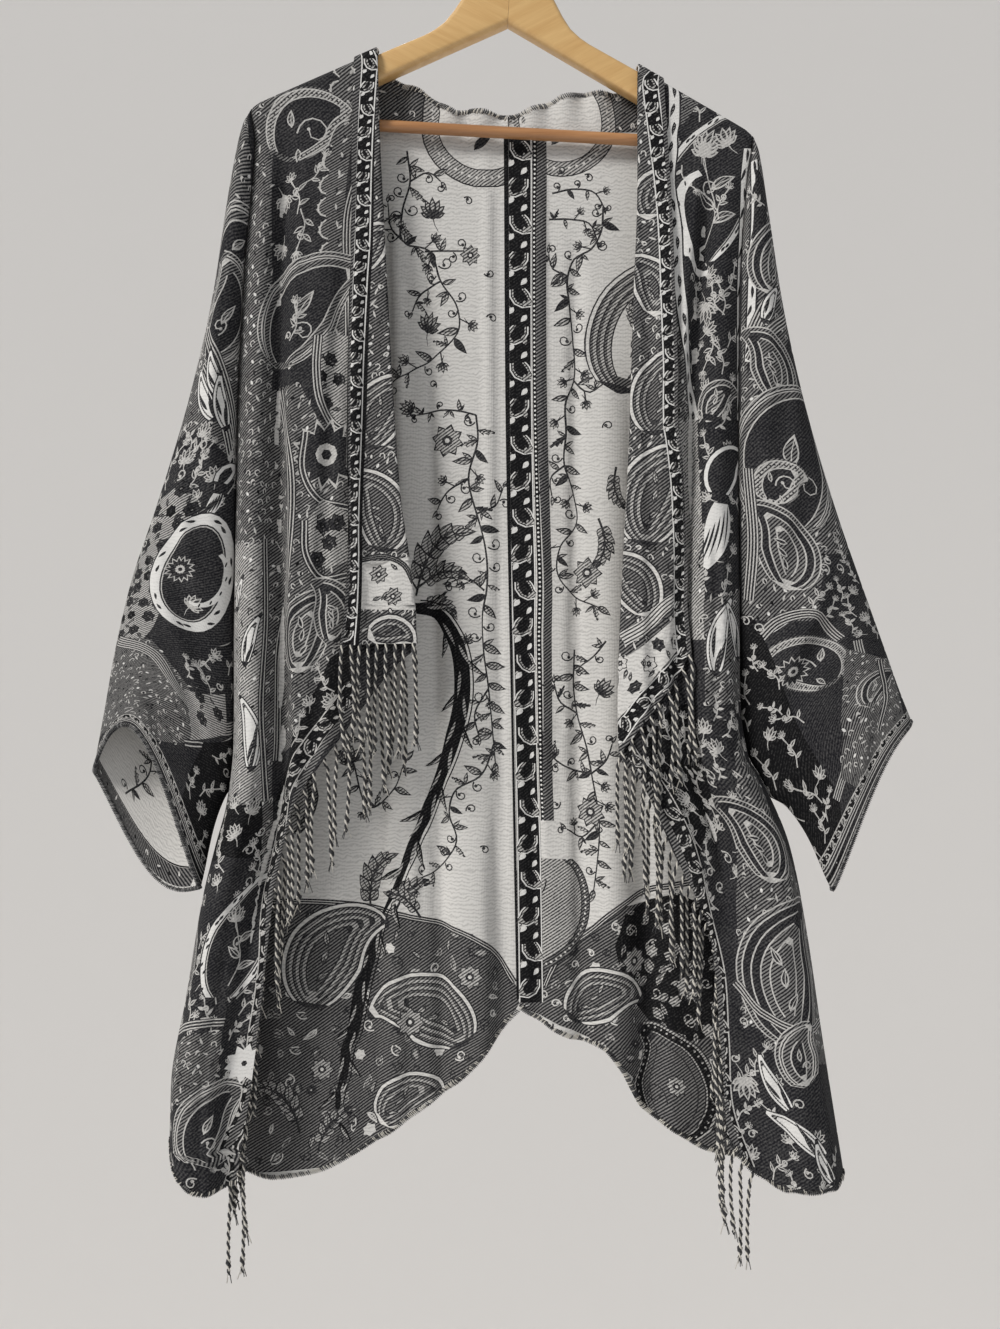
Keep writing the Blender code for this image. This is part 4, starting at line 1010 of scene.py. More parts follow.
def bloom(d, at, size, turn, hand=1, fill=HATCH, tone=LINE):
    """A carnation from the side: ragged petals in a fan over a cup."""
    fan = ((-76, 0.8), (76, 0.8), (-50, 1.0), (50, 1.0), (-24, 1.12), (24, 1.12), (0, 1.2))
    if size < 10:
        fan = ((-64, 0.9), (64, 0.9), (-30, 1.1), (30, 1.1), (0, 1.2))
    for spread, length in fan:
        d.fill(put(leaf_outline(size * length, size * 0.5, 0), at, turn + spread), tone)
        base = point_of(0, -size * 0.3, at, turn + spread)
        d.fill(put(leaf_outline(size * (length - 0.45), size * 0.26, 0), base, turn + spread), fill)
    d.fill(put(oval(size * 0.5, size * 0.42, 8), at, turn), tone)
    stem = [(0, 0), (hand * size * 0.1, size * 0.5), (hand * size * 0.34, size * 0.95)]
    d.line(put(stem, at, turn), 1.1, tone)


def sprig(d, at, size, turn, hand):
    """A short bent stem with paired leaves, a tendril and a bud."""
    bent = [(0, size * 0.5), (hand * size * 0.1, 0.1 * size), (0, -size * 0.2),
            (-hand * size * 0.12, -size * 0.5)]
    stem = smooth(put(bent, at, turn), 3.5)
    d.line(stem, 1.2, LINE, 0.8)
    for k, (share, lean) in enumerate(((0.25, 58), (0.45, -62), (0.66, 50))):
        spot = stem[int(share * (len(stem) - 1))]
        leaf(d, spot, turn + hand * lean, size * 0.3, fill=GROUND if k % 2 else HATCH)
    curl(d, stem[len(stem) // 2], size * 0.22, turn - hand * 70, hand)
    bloom(d, stem[-1], size * 0.2, turn, hand)


def frond(d, at, size, turn, hand):
    """An acanthus leaf: pointed lobes on both sides of a bent rib."""
    bends = math.radians(70) * np.linspace(0, 1, 7) ** 1.5
    rib = np.cumsum(np.stack([np.sin(bends), -np.cos(bends)], axis=1), axis=0) * size / 7
    for k, share in enumerate((0.24, 0.3, 0.32, 0.28, 0.22, 0.15)):
        for side in (-1, 1):
            way = turn + hand * (math.degrees(bends[k]) + side * (46 - 3 * k))
            spot = point_of(*rib[k], at, turn, hand)
            leaf(d, spot, way, size * share, size * 0.16, bend=-0.2 * side * hand)
    leaf(d, point_of(*rib[5], at, turn, hand), turn + hand * 60, size * 0.26, size * 0.1)
    d.line(put(np.concatenate([[(0, size * 0.06)], rib]), at, turn, hand), 2.2, LINE)


def nested(d, at, size, turn, hand, bands, slim=0.56, bend=1.5):
    """A paisley as drops within one another: pairs of inset and tone."""
    for inset, tone in bands:
        if inset < size * slim * 0.46:
            d.fill(put(drop_outline(size, size * slim, bend, inset), at, turn, hand), tone)


def beads_along(d, outline, pitch, size, tone):
    """Round beads along a closed outline."""
    closed = np.concatenate([outline, outline[:1]])
    for spot in smooth(closed, pitch)[:-1]:
        d.fill(oval(size, size, 6) + spot, tone)


def spiral(d, at, size, turn, hand):
    """A dark paisley in a pale hatched ring with beads, and a small rolled stem inside."""
    bands = (-3.2, HATCH), (-1.4, LINE), (0, SOFT), (6.2, LINE), (7.4, GROUND)
    nested(d, at, size, turn, hand, bands, 0.62, 1.9)
    beads_along(d, put(drop_outline(size, size * 0.62, 1.9, 3.2), at, turn, hand), 4.5, 2.0, GROUND)
    curl(d, point_of(0, size * 0.1, at, turn, hand), size * 0.34, turn, hand)
    leaf(d, point_of(-size * 0.06, -size * 0.02, at, turn, hand), turn - 20 * hand, size * 0.18)
    leaf(d, point_of(size * 0.06, size * 0.16, at, turn, hand), turn + 150, size * 0.14)


def hatched(d, at, size, turn, hand):
    """A paisley of pale rings and hatching round a dark heart."""
    nested(d, at, size, turn, hand, (
        (-5, LINE), (-3.8, HATCH), (-1.2, LINE), (0.2, GROUND), (1.4, LINE), (2.6, HATCH), (9, LINE),
        (10.4, GROUND)))
    curl(d, point_of(0, size * 0.1, at, turn, hand), size * 0.16, turn + 30, hand)
    leaf(d, point_of(size * 0.03, -size * 0.02, at, turn, hand), turn + 12 * hand, size * 0.2)


def ripple(d, at, size, turn, hand, core=SOFT):
    """A paisley drawn in repeated outlines, like rings in water."""
    bands = [(-2.6, LINE), (-1.2, GROUND if d.pale else HATCH)]
    if d.pale:
        inset = 2.0
        while inset < size * 0.13:
            bands += [(inset, LINE), (inset + 1.3, SOFT), (inset + 3.6, HATCH)]
            inset += 5.2 + size * 0.01
        bands += [(inset, LINE), (inset + 1.4, core)]
    else:
        inset = 2.6
        while inset < size * 0.24:
            bands += [(inset, LINE), (inset + 1.4, HATCH if inset > size * 0.1 else GROUND)]
            inset += 4.8 + size * 0.024
    nested(d, at, size, turn, hand, bands, 0.54, 1.7)
    for k in range(3):
        spot = point_of(size * (0.03 * k - 0.02), size * (0.14 - 0.13 * k), at, turn, hand)
        leaf(d, spot, turn + 40 * hand - 30 * k, size * 0.1 + 3, fill=HATCH if d.pale else GROUND)


def feather(d, at, size, turn, hand):
    """A large paisley with a ringed rim and leaves on the pale ground inside."""
    ripple(d, at, size, turn, hand, GROUND)
    for k in range(3):
        spot = point_of(0, size * (0.24 - 0.12 * k), at, turn, hand)
        frond(d, spot, size * 0.2, turn + 30 - 34 * k, hand)


def rimmed(d, at, size, turn, hand):
    """A grey paisley in a broad black rim with a row of pale teeth."""
    black = BRIGHT if d.pale else DEEP
    bands = ((-3.4, LINE), (-2, HATCH), (0.4, black), (8.6, HATCH), (10, LINE), (11.2, SOFT), (17, LINE),
             (18.2, SOFT))
    nested(d, at, size, turn, hand, bands, 0.7, 1.5)
    beads_along(d, put(drop_outline(size, size * 0.7, 1.5, 3.4), at, turn, hand), 6.5, 2.6, HATCH)
    curl(d, point_of(0, size * 0.12, at, turn, hand), size * 0.22, turn - 20, hand)
    flower(d, point_of(0, -size * 0.1, at, turn, hand), size * 0.09, 0)


def bead(d, at, size, turn, hand):
    """A paisley with a beaded rim and a plain hatched middle."""
    nested(d, at, size, turn, hand, ((-1.2, LINE), (0, SOFT), (7.4, LINE), (8.6, HATCH)), 0.66, 1.1)
    beads_along(d, put(drop_outline(size, size * 0.66, 1.1, 3.8), at, turn, hand), 5.2, 2.3, GROUND)
    curl(d, point_of(0, size * 0.2, at, turn, hand), size * 0.2, turn, hand)


def white(d, at, size, turn, hand):
    """A long dark paisley with a broad white rim and small leaves in the rim."""
    bands = (-1.3, GROUND), (0, BRIGHT), (5.0, GROUND), (6.2, LINE), (7.2, GROUND)
    nested(d, at, size, turn, hand, bands, 0.46, 1.0)
    rim = smooth(put(drop_outline(size, size * 0.46, 1.0, 2.5), at, turn, hand), 11)
    for k, spot in enumerate(rim[1:-1]):
        leaf(d, spot, turn + (20 if k % 2 else 200), 6.5, 2.4, tone=GROUND)
    sprig(d, point_of(0, size * 0.02, at, turn, hand), size * 0.42, turn, hand)


def tear(d, at, size, turn, hand):
    """A slim white drop with a grey line inside its edge and dark slits."""
    nested(d, at, size, turn, hand, ((-1.1, GROUND), (0, BRIGHT), (1.8, HATCH), (3.0, BRIGHT)), 0.24, 0.6)
    for share, off in ((0.34, 0), (0.1, -0.03), (0.2, 0.04)):
        spot = point_of(size * off, size * share, at, turn, hand)
        leaf(d, spot, turn + 160 * off, size * 0.36, size * 0.05, tone=GROUND)


def comet(d, at, size, turn, hand):
    """A white crook with a dark drop in its bend and a streaming tail."""
    tail = point_of(0, size * 0.26, at, turn, hand)
    nested(d, tail, size * 0.62, turn + 180, hand, ((0, BRIGHT),), 0.36, 0.5)
    for k in range(5):
        spot = point_of(size * (0.07 - 0.035 * k), size * (0.08 + 0.05 * k), at, turn, hand)
        leaf(d, spot, turn + 176 + 4 * k, size * 0.36, 2.2, tone=GROUND)
    nested(d, point_of(0, -size * 0.12, at, turn, hand), size * 0.56, turn, hand,
           ((-1.2, GROUND), (0, BRIGHT), (3.6, GROUND)), 0.56, 1.6)


def crescent(d, at, size, turn, hand):
    """A white sickle with small dark leaves along it."""
    angles = np.linspace(math.radians(100), math.radians(275), 13)
    outer = np.stack([0.36 * size * np.cos(angles), -0.5 * size * np.sin(angles)], axis=1)
    inner = outer * (0.82, 0.9) + (0.03 * size, 0)
    d.fill(put(np.concatenate([outer, inner[::-1]]), at, turn, hand), BRIGHT)
    middle = (outer + inner) / 2
    for k in range(2, 11, 2):
        d.fill(put(oval(1.7, 5, 7) + middle[k], at, turn, hand), GROUND)


def medallion(d, at, size, turn, hand):
    """A dark oval in a broad white ring that carries leaves."""
    for inset, tone in ((-2.5, GROUND), (-1.2, BRIGHT), (9, GROUND), (10.4, LINE), (11.4, GROUND)):
        d.fill(put(oval(size * 0.62 - 2 * inset, size - 2 * inset, 30), at, turn), tone)
    ring = put(oval(size * 0.62 - 8, size - 8, 14), at, turn)
    for k, spot in enumerate(ring):
        leaf(d, spot, turn + 360 * k / 14 + 180 * (k % 2), 9, 3.0, tone=GROUND)


def arc(d, at, size, turn, hand):
    """Half a beaded ring, open above, with a small crook inside."""
    for wide, tone in ((2.3, LINE), (2.25, HATCH), (1.72, LINE), (1.68, GROUND)):
        d.fill(put(oval(size * wide, size * wide, 36), at, turn), tone)
    beads_along(d, put(oval(size * 1.96, size * 1.96, 40), at, turn), 7, 3.0, GROUND)
    leaf(d, point_of(-size * 0.2, size * 0.5, at, turn), turn + 40, size * 0.4, size * 0.16, fill=LINE)


MOTIFS = {
    "flower": lambda d, at, m: flower(d, at, m.size, m.turn),
    "dahlia": lambda d, at, m: flower(d, at, m.size, m.turn, 14, GROUND),
    "daisy": lambda d, at, m: flower(d, at, m.size, m.turn, 10, BRIGHT, BRIGHT),
    "leaf": lambda d, at, m: leaf(d, at, m.turn, m.size),
}
for shape in (bloom, curl, sprig, frond, spiral, hatched, ripple, feather, rimmed, bead, white, tear, comet,
              crescent, medallion, arc):
    MOTIFS[shape.__name__] = lambda d, at, m, shape=shape: shape(d, at, m.size, m.turn, m.hand)


def heading(ahead):
    """Degrees clockwise from upright of a direction on the cloth."""
    return math.degrees(math.atan2(ahead[0], -ahead[1]))


def vine(d, line, size, rng, small=False):
    """A stem with leaves, tendrils and small blooms on either side in turn."""
    line = smooth(line, 4.6)
    d.line(line, 1.9, LINE, 0.7)
    ahead = np.gradient(line, axis=0)
    hand = rng.choice((1, -1))
    for i in range(1, len(line) - 1, 2):
        way = heading(ahead[i])
        kind = rng.random()
        if kind < 0.58:
            leaf(d, line[i], way + hand * rng.uniform(36, 64), size * rng.uniform(1.2, 1.9),
                 fill=LINE if rng.random() < 0.2 else HATCH, bend=0.25 * hand, teeth=rng.choice((0, 0, 3)))
            if rng.random() < 0.4:
                lean = hand * rng.uniform(84, 110)
                leaf(d, line[i], way + lean, size * rng.uniform(0.8, 1.1), bend=0.3 * hand)
        elif kind < 0.86:
            curl(d, line[i], size * rng.uniform(0.9, 1.3), way + hand * rng.uniform(20, 50), hand)
        else:
            turn = way + hand * 56
            spot = point_of(0, -size, line[i], turn)
            d.line(np.array([line[i], spot]), 1.2, LINE, 1)
            bloom(d, spot, size * 0.72, turn, hand)
        hand = -hand
    if small:
        curl(d, line[-1], size * 0.9, heading(ahead[-1]), hand)
    leaf(d, line[-1], heading(ahead[-1]), size * (1.0 if small else 1.5), bend=0.2)


def beside(line):
    """Unit directions to the right of a line's run."""
    ahead = np.gradient(line, axis=0)
    return unit(np.stack([-ahead[:, 1], ahead[:, 0]], axis=1))


def chain(d, line, width):
    """A dark border with a row of small paisleys between two fine lines, dark on either face."""
    dark, light, grey = (BRIGHT, DEEP, HATCH) if d.pale else (DEEP, LINE, SOFT)
    d.line(line, width, dark, 1)
    for side in (-0.46, 0.46):
        d.line(line + beside(line) * side * width, 1.2, light, 1)
    pitch = width * 1.35
    spots = smooth(line, pitch)
    ways = np.gradient(spots, axis=0)
    for k in range(len(spots) - 1):
        way = heading(ways[k])
        spot = (spots[k] + spots[k + 1]) / 2
        hand = 1 if k % 2 else -1
        bands = (0, light), (1.3, dark), (2.4, grey), (3.8, dark)
        nested(d, spot, pitch * 0.9, way, hand, bands, 0.62, 1.9)
        for side in (-1, 1):
            upper = leaf_outline(width * 0.34, width * 0.2) + (side * width * 0.28, 2)
            lower = leaf_outline(width * 0.3, width * 0.18) + (side * width * 0.3, -2)
            d.fill(put(upper, spots[k], way + 30), light)
            d.fill(put(lower, spots[k], way + 160), grey)


def dots(d, line, width):
    """A dark line with pale dots."""
    dark, light = (BRIGHT, DEEP) if d.pale else (DEEP, LINE)
    d.line(line, width, dark, 1)
    for spot in smooth(line, 4.2):
        d.fill(oval(width * 0.55, width * 0.55, 5) + spot, light)


def lines(d, line, width):
    """A bundle of fine lines side by side."""
    d.line(line, width, GROUND, 0.9)
    count = max(int(width / 2.7), 2)
    for k in range(count):
        d.line(line + beside(line) * width * ((k + 0.5) / count - 0.5) * 0.95, 1.25, LINE, 0.9)


def scallop(d, line, width):
    """A hatched border with spiky scallops on its left."""
    spots = smooth(line, 21)
    for k, spot in enumerate(spots[:-1]):
        here = (spot + spots[k + 1]) / 2 - (width * 0.4, 0)
        for lean in (-118, -90, -62):
            leaf(d, here, lean, width * 0.62, 6.5)
        d.fill(put(oval(width * 1.1, 20, 12), here, 0), LINE)
        d.fill(put(oval(width * 0.9, 17, 12), here, 0), HATCH)
        curl(d, here + (0, 4), 7, 20, 1)
    d.line(line, width, HATCH, 1)
    for k, spot in enumerate(smooth(line, 8)):
        leaf(d, spot, 150 if k % 2 else 40, 7, 2.2, tone=LINE if k % 3 else GROUND)


def stripe(d, line, width):
    """A white stripe between dark lines, with dark leaves in it."""
    d.line(line, width + 3, GROUND, 1)
    d.line(line, width, BRIGHT, 1)
    spots = smooth(line, 17)
    ways = np.gradient(spots, axis=0)
    for k, spot in enumerate(spots):
        leaf(d, spot, heading(ways[k]) + (8 if k % 2 else -10), 13, width * 0.42, tone=GROUND)


def plume(d, line, width):
    """A broad black swoosh with a fine line beside it, hooked leaves at its edges and grey slits in it."""
    dark, light = (BRIGHT, HATCH) if d.pale else (DEEP, LINE)
    ahead = np.gradient(line, axis=0)
    aside = beside(line)
    last = len(line) - 1
    for i in range(2, last, 5):
        side = 1 if (i // 5) % 2 else -1
        spot = line[i] + aside[i] * side * width * 0.2
        leaf(d, spot, heading(ahead[i]) + side * 22, width * 1.8, width * 0.42, light, 0, 0.3 * side, dark)
    half = width / 2 * np.sin(math.pi * np.linspace(0.16, 0.94, len(line)) ** 0.8)[:, None]
    d.fill(np.concatenate([line + aside * half, (line - aside * half)[::-1]]), dark)
    d.line(line[1:] - aside[1:] * (half[1:] + 2.6), 1.3, dark, 0.8)
    for i in range(2, last - 2, 4):
        side = 1 if (i // 4) % 2 else -1
        spot = line[i] + aside[i] * side * width * 0.12
        leaf(d, spot, heading(ahead[i]) + 4 * side, width * 1.7, width * 0.2, light, 0, 0.1 * side, light)


def ring(d, line, width):
    """A double outline with a fine line between."""
    d.line(line, width, LINE, 1)
    d.line(line, width - 3.2, GROUND, 1)
    d.line(line, 1.5, LINE, 1)


PATHS = {
    "line": lambda d, line, width, rng: d.line(line, width, BRIGHT, 1),
    "vine": lambda d, line, width, rng: vine(d, line, width, rng),
    "twig": lambda d, line, width, rng: vine(d, line, width, rng, True),
    "grey": lambda d, line, width, rng: d.line(line, width, SOFT if d.pale else HATCH, 1),
}
for shape in (chain, dots, lines, scallop, stripe, plume, ring):
    PATHS[shape.__name__] = lambda d, line, width, rng, shape=shape: shape(d, line, width)


def covered(outline, spots):
    """Which places lie in a closed outline: those that it winds round."""
    x, y = outline[:, 0], outline[:, 1]
    x2, y2 = np.roll(x, -1), np.roll(y, -1)
    across, down = spots[:, :1], spots[:, 1:]
    side = (x2 - x) * (down - y) - (across - x) * (y2 - y)
    up = (y <= down) & (y2 > down) & (side > 0)
    back = (y > down) & (y2 <= down) & (side < 0)
    return up.sum(axis=1) != back.sum(axis=1)


def squiggle(d, spot, rng, tone):
    """A small mark of hatched ground: a hook, a dash, a comma or a fleck."""
    kind = rng.random()
    turn = rng.gauss(0, 40)
    light = LINE if rng.random() < (0.4 if d.pale else 0.7) else GROUND
    if kind < 0.3:
        hook = [(-2.5, 2), (-1, -2.5), (2, -2), (2.2, 1.2)]
        d.line(smooth(put(hook, spot, turn, rng.choice((1, -1))), 2.4), 1.2, light, 0.7)
    elif kind < 0.6:
        leaf(d, spot, turn, rng.uniform(5, 9), 2.0, tone=light)
    elif kind < 0.85:
        d.fill(put(drop_outline(7, 4.4, 1.6), spot, turn, rng.choice((1, -1))), light)
        d.fill(put(drop_outline(7, 4.4, 1.6, 1.1), spot, turn), GROUND if light == LINE else HATCH)
    else:
        d.fill(put(oval(2.6, 4.2, 7), spot, turn), BRIGHT if light == LINE else DEEP)


def filigree(d, spot, rng, tone):
    """A mark of the grey field: fine tendrils, buds and bare drops."""
    kind = rng.random()
    turn = rng.uniform(0, 360)
    mark = HATCH if tone == BRIGHT else rng.choice((LINE, LINE, GROUND, HATCH))
    if kind < 0.45:
        curl(d, spot, rng.uniform(8, 13), turn, rng.choice((1, -1)), mark)
    elif kind < 0.72:
        leaf(d, spot, turn, rng.uniform(10, 16), fill=SOFT if mark == HATCH else HATCH, bend=0.3, tone=mark)
    elif kind < 0.84:
        flower(d, spot, rng.uniform(5, 7), turn, 6, SOFT, mark)
    else:
        nested(d, spot, rng.uniform(13, 19), turn, 1, ((0, mark), (1.2, SOFT), (2.8, HATCH)))


def rose(d, spot, rng, tone):
    """A small open flower between two leaves."""
    flower(d, spot, rng.uniform(6, 9), rng.uniform(0, 60), 6, GROUND, DEEP if tone == SOFT else LINE, HATCH)
    leaf(d, spot + (6, 5), rng.uniform(0, 360), 10, 4, tone=GROUND if tone == SOFT else LINE)
    leaf(d, spot - (6, 5), rng.uniform(0, 360), 9, 3.6, tone=GROUND if tone == SOFT else LINE)


def small_sprig(d, spot, rng, tone):
    """A sprig, a bloom or a tendril."""
    if rng.random() < 0.6:
        sprig(d, spot, rng.uniform(22, 32), rng.uniform(-50, 50), rng.choice((1, -1)))
    elif rng.random() < 0.5:
        bloom(d, spot, rng.uniform(8, 11), rng.uniform(-60, 60), rng.choice((1, -1)))
    else:
        curl(d, spot, rng.uniform(9, 13), rng.uniform(0, 360), rng.choice((1, -1)))


def small_vine(d, spot, rng):
    """A short vine with a flower beside it."""
    hand = rng.choice((1, -1))
    line = put([(0, 34), (hand * 12, 12), (-hand * 4, -10), (hand * 8, -34)], spot, rng.uniform(-24, 24))
    vine(d, smooth(line), 10, rng)
    flower(d, line[1] + (hand * 14, 0), 11, rng.uniform(0, 40))


SCATTERS = {"squiggle": squiggle, "filigree": filigree, "roses": rose, "sprigs": small_sprig}


def stepped(points):
    """A closed outline of photo places with its long sides cut into steps."""
    made = []
    for start, end in zip(points, points[1:] + points[:1]):
        count = int(math.dist(start, end) / AREA_STEP) + 1
        made.extend(np.linspace(start, end, count, endpoint=False))
    return made


def draw(cloth, layout, seed, pale):
    """All motifs of one piece of cloth."""
    d = Drawing(pale)
    rng = random.Random(seed)
    for entry in layout:
        if isinstance(entry, Motif):
            MOTIFS[entry.kind](d, cloth.at(entry.px, entry.py), entry)
            continue
        spots = stepped(entry.points) if isinstance(entry, Area) else entry.points
        line = np.array([cloth.at(*spot) for spot in spots])
        if isinstance(entry, Path):
            PATHS[entry.kind](d, smooth(line, 6.0), entry.width, rng)
            continue
        d.fill(line, entry.tone)
        if not entry.scatter:
            continue
        low = line.min(axis=0)
        for i in range(int(np.ptp(line[:, 0]) / entry.pitch) + 1):
            for j in range(int(np.ptp(line[:, 1]) / entry.pitch) + 1):
                step = (i + 0.5 * (j % 2) + rng.uniform(0, 0.4), j + rng.uniform(0, 0.4))
                spot = low + np.array(step) * entry.pitch
                if covered(line, spot[None])[0]:
                    SCATTERS[entry.scatter](d, spot, rng, entry.tone)
    return d


def past_fold(d, sleeve, rng):
    """Paisleys, vines and sprigs over the back of a sleeve, which the photo doesn't show."""
    sign = sleeve.side.sign
    edge = sleeve.outline()
    low = edge.min(axis=0)
    high = edge.max(axis=0)
    for j in range(int((high[1] - low[1]) / REAR_PITCH)):
        for i in range(3):
            spot = np.array([sign * (i + 0.5 + 0.5 * (j % 2)) * REAR_PITCH, low[1] + (j + 0.5) * REAR_PITCH])
            spot = spot + (rng.uniform(-6, 6), rng.uniform(-6, 6))
            if not sleeve.inside(spot[None])[0]:
                continue
            kind = rng.choice((hatched, ripple, spiral, medallion))
            kind(d, spot, REAR_PITCH * 0.82, rng.uniform(-20, 20), rng.choice((1, -1)))
            small_vine(d, spot + (REAR_PITCH * 0.5, 0), rng)
            small_sprig(d, spot + (0, REAR_PITCH * 0.5), rng, GROUND)


def cuff_drawing(sleeve, outer, inner, rng):
    """Border lines round the cuff outside; inside, a dark turned hem, widened as painted shade, and a vine
    that the mouth shows.
    """
    around = np.linspace(0.04, 1.96, 60)
    edge = sleeve.flat(around, np.ones(60))
    for off, width in ((-4.5, 6), (-14, 8)):
        lines(outer, edge + (0, off), width)
    chain(outer, edge + (0, -23), 9)
    inner.pale = True
    # The dark band just inside the mouth is a turned hem, drawn wider to paint the shade inside the sleeve.
    for k in range(5, 53, 2):
        inner.line(edge[k:k + 3] + (0, -12), 17, SOFT, 1)
        inner.line(edge[k:k + 3] + (0, -21.5), 1.4, BRIGHT, 1)
        squiggle(inner, edge[k] + (0, -12), rng, SOFT)
    for start in (1.3, 1.62):
        stem = sleeve.flat(start + np.array([0.0, 0.1, 0.04, 0.16]), np.array([0.95, 0.88, 0.82, 0.72]))
        vine(inner, smooth(stem), 11, rng)


def cut_tile(base, grid, turns, outlines, edges):
    """One tile with outlines and parts of the cloth's edge cut in: places, triangles and their middles."""
    ticks = np.arange(int(TILE / grid)) * grid
    border = [(x, 0) for x in ticks] + [(TILE, y) for y in ticks]
    border += [(TILE - x, TILE) for x in ticks] + [(0, TILE - y) for y in ticks]
    spots = border + [(x, y) for x in ticks[1:] for y in ticks[1:]]
    spots.extend(turns[((turns > base) & (turns < base + TILE)).all(axis=1)] - base)
    links = [(k, (k + 1) % len(border)) for k in range(len(border))]
    for outline in outlines:
        start = len(spots)
        count = len(outline)
        links.extend((start + n, start + (n + 1) % count) for n in range(count))
        spots.extend(outline - base)
    for ends in edges:
        links.append((len(spots), len(spots) + 1))
        spots.extend(ends - base)
    made = delaunay_2d_cdt([Vector(s) for s in spots], links, [], 0, SAME_PLACE, False)
    places = np.array([v[:] for v in made[0]])
    triangles = np.array(made[2])
    middle = places[triangles].mean(axis=1)
    in_tile = ((middle > 0) & (middle < TILE)).all(axis=1)
    return places + base, triangles[in_tile], middle[in_tile] + base


def imprint(cloth, drawing, edge, edge_next, grid):
    """Triangles of the flat cloth with the motifs' outlines as edges: places, triangles and tones."""
    lows = np.array([p.min(axis=0) for p in drawing.outlines]).reshape(-1, 2)
    highs = np.array([p.max(axis=0) for p in drawing.outlines]).reshape(-1, 2)
    turns = cloth.turns()
    edge_low = np.minimum(edge, edge_next)
    edge_high = np.maximum(edge, edge_next)
    first = np.floor(edge.min(axis=0) / TILE).astype(int)
    last = np.ceil(edge.max(axis=0) / TILE).astype(int)
    places = []
    triangles = []
    tones = []
    for i in range(first[0], last[0]):
        for j in range(first[1], last[1]):
            base = np.array([i, j]) * TILE
            near = np.nonzero(((edge_low <= base + TILE) & (edge_high >= base)).all(axis=1))[0]
            if not len(near) and not cloth.inside((base + TILE / 2)[None])[0]:
                continue
            hits = np.nonzero(((lows <= base + TILE) & (highs >= base)).all(axis=1))[0]
            outlines = [drawing.outlines[k] for k in hits]
            edges = np.stack([edge[near], edge_next[near]], axis=1)
            local, found, middle = cut_tile(base, grid, turns, outlines, edges)
            tone = np.full(len(found), GROUND)
            for k in hits:
                tone[covered(drawing.outlines[k], middle)] = drawing.tones[k]
            triangles.append(found + sum(len(p) for p in places))
            places.append(local)
            tones.append(tone)
    places = np.concatenate(places)
    triangles = np.concatenate(triangles)
    tones = np.concatenate(tones)
    on_cloth = cloth.inside(places[triangles].mean(axis=1))
    places, triangles = welded(places, triangles[on_cloth])
    sound = whole(triangles)
    return places, triangles[sound], tones[on_cloth][sound]


def whole(triangles):
    """Which triangles have three different corners."""
    return (np.diff(np.sort(triangles, axis=1), axis=1) > 0).all(axis=1)


def open_edges(triangles):
    """The edges that only one triangle has, in that triangle's order, and the triangle of each."""
    edges = np.concatenate([triangles[:, [0, 1]], triangles[:, [1, 2]], triangles[:, [2, 0]]])
    keys = np.sort(edges, axis=1) @ np.array([triangles.max() + 1, 1])
    _, where, times = np.unique(keys, return_index=True, return_counts=True)
    alone = where[times == 1]
    return edges[alone], alone % len(triangles)


def patches(faces):
    """Triangles that close the small holes left where tiles meet."""
    after = {end: start for start, end in open_edges(faces)[0].tolist()}
    made = []
    while after:
        first, at = after.popitem()
        loop = [first]
        while at != first and at in after:
            loop.append(at)
            at = after.pop(at)
        made += [(loop[0], loop[k], loop[k + 1]) for k in range(1, len(loop) - 1)]
    return np.array(made, int).reshape(-1, 3)


def matched(spots, others):
    """For each spot, the number of the nearest of other spots."""
    tree = kdtree.KDTree(len(others))
    for k, spot in enumerate(others):
        tree.insert((*spot, 0), k)
    tree.balance()
    return np.array([tree.find((*spot, 0))[1] for spot in spots])


def welded(places, triangles):
    """Joins the points that neighbouring tiles share, and drops those that no triangle uses."""
    away = np.abs(places / TILE - np.round(places / TILE)).min(axis=1) * TILE
    shared = np.nonzero(away < BORDER_BAND)[0]
    tree = kdtree.KDTree(len(shared))
    for k in shared:
        tree.insert((*places[k], 0), int(k))
    tree.balance()
    one = np.arange(len(places))
    for k in shared:
        one[k] = min(found[1] for found in tree.find_range((*places[k], 0), SHARED_PLACE))
    used, triangles = np.unique(one[triangles], return_inverse=True)
    triangles = triangles.reshape(-1, 3)
    return places[used], triangles


def add_object(name, data):
    made = bpy.data.objects.new(name, data)
    bpy.context.scene.collection.objects.link(made)
    return made


def make_object(name, vertices, faces, slots, materials, normals=None):
    """A smooth mesh with a material slot for each face, and given normals if there are any."""
    mesh = bpy.data.meshes.new(name)
    mesh.from_pydata(vertices, [], np.ascontiguousarray(faces))
    for material in materials:
        mesh.materials.append(material)
    mesh.polygons.foreach_set("material_index", np.asarray(slots, dtype=np.int32))
    mesh.polygons.foreach_set("use_smooth", np.ones(len(mesh.polygons), dtype=bool))
    mesh.update()
    if normals is not None:
        mesh.normals_split_custom_set_from_vertices(normals)
    return add_object(name, mesh)


def winding(vertices, triangles, normals):
    """1 where triangles face the way of the normals, -1 where they have to be reversed."""
    a, b, c = (vertices[triangles[:, k]] for k in range(3))
    return 1 if (np.cross(b - a, c - a) * normals[triangles[:, 0]]).sum() > 0 else -1


def rim_seats(count):
    """Places on the pattern map of the two triangles at each edge of a rim, as one narrow strip."""
    ends = np.linspace(0, 1, count + 1)
    left = ends[:-1]
    right = ends[1:]
    low = np.full(count, RIM_LOW)
    high = np.full(count, RIM_HIGH)
    first = np.stack([right, low, left, low, left, high], axis=1)
    second = np.stack([right, low, left, high, right, high], axis=1)
    return np.concatenate([first, second]).reshape(-1, 3, 2)


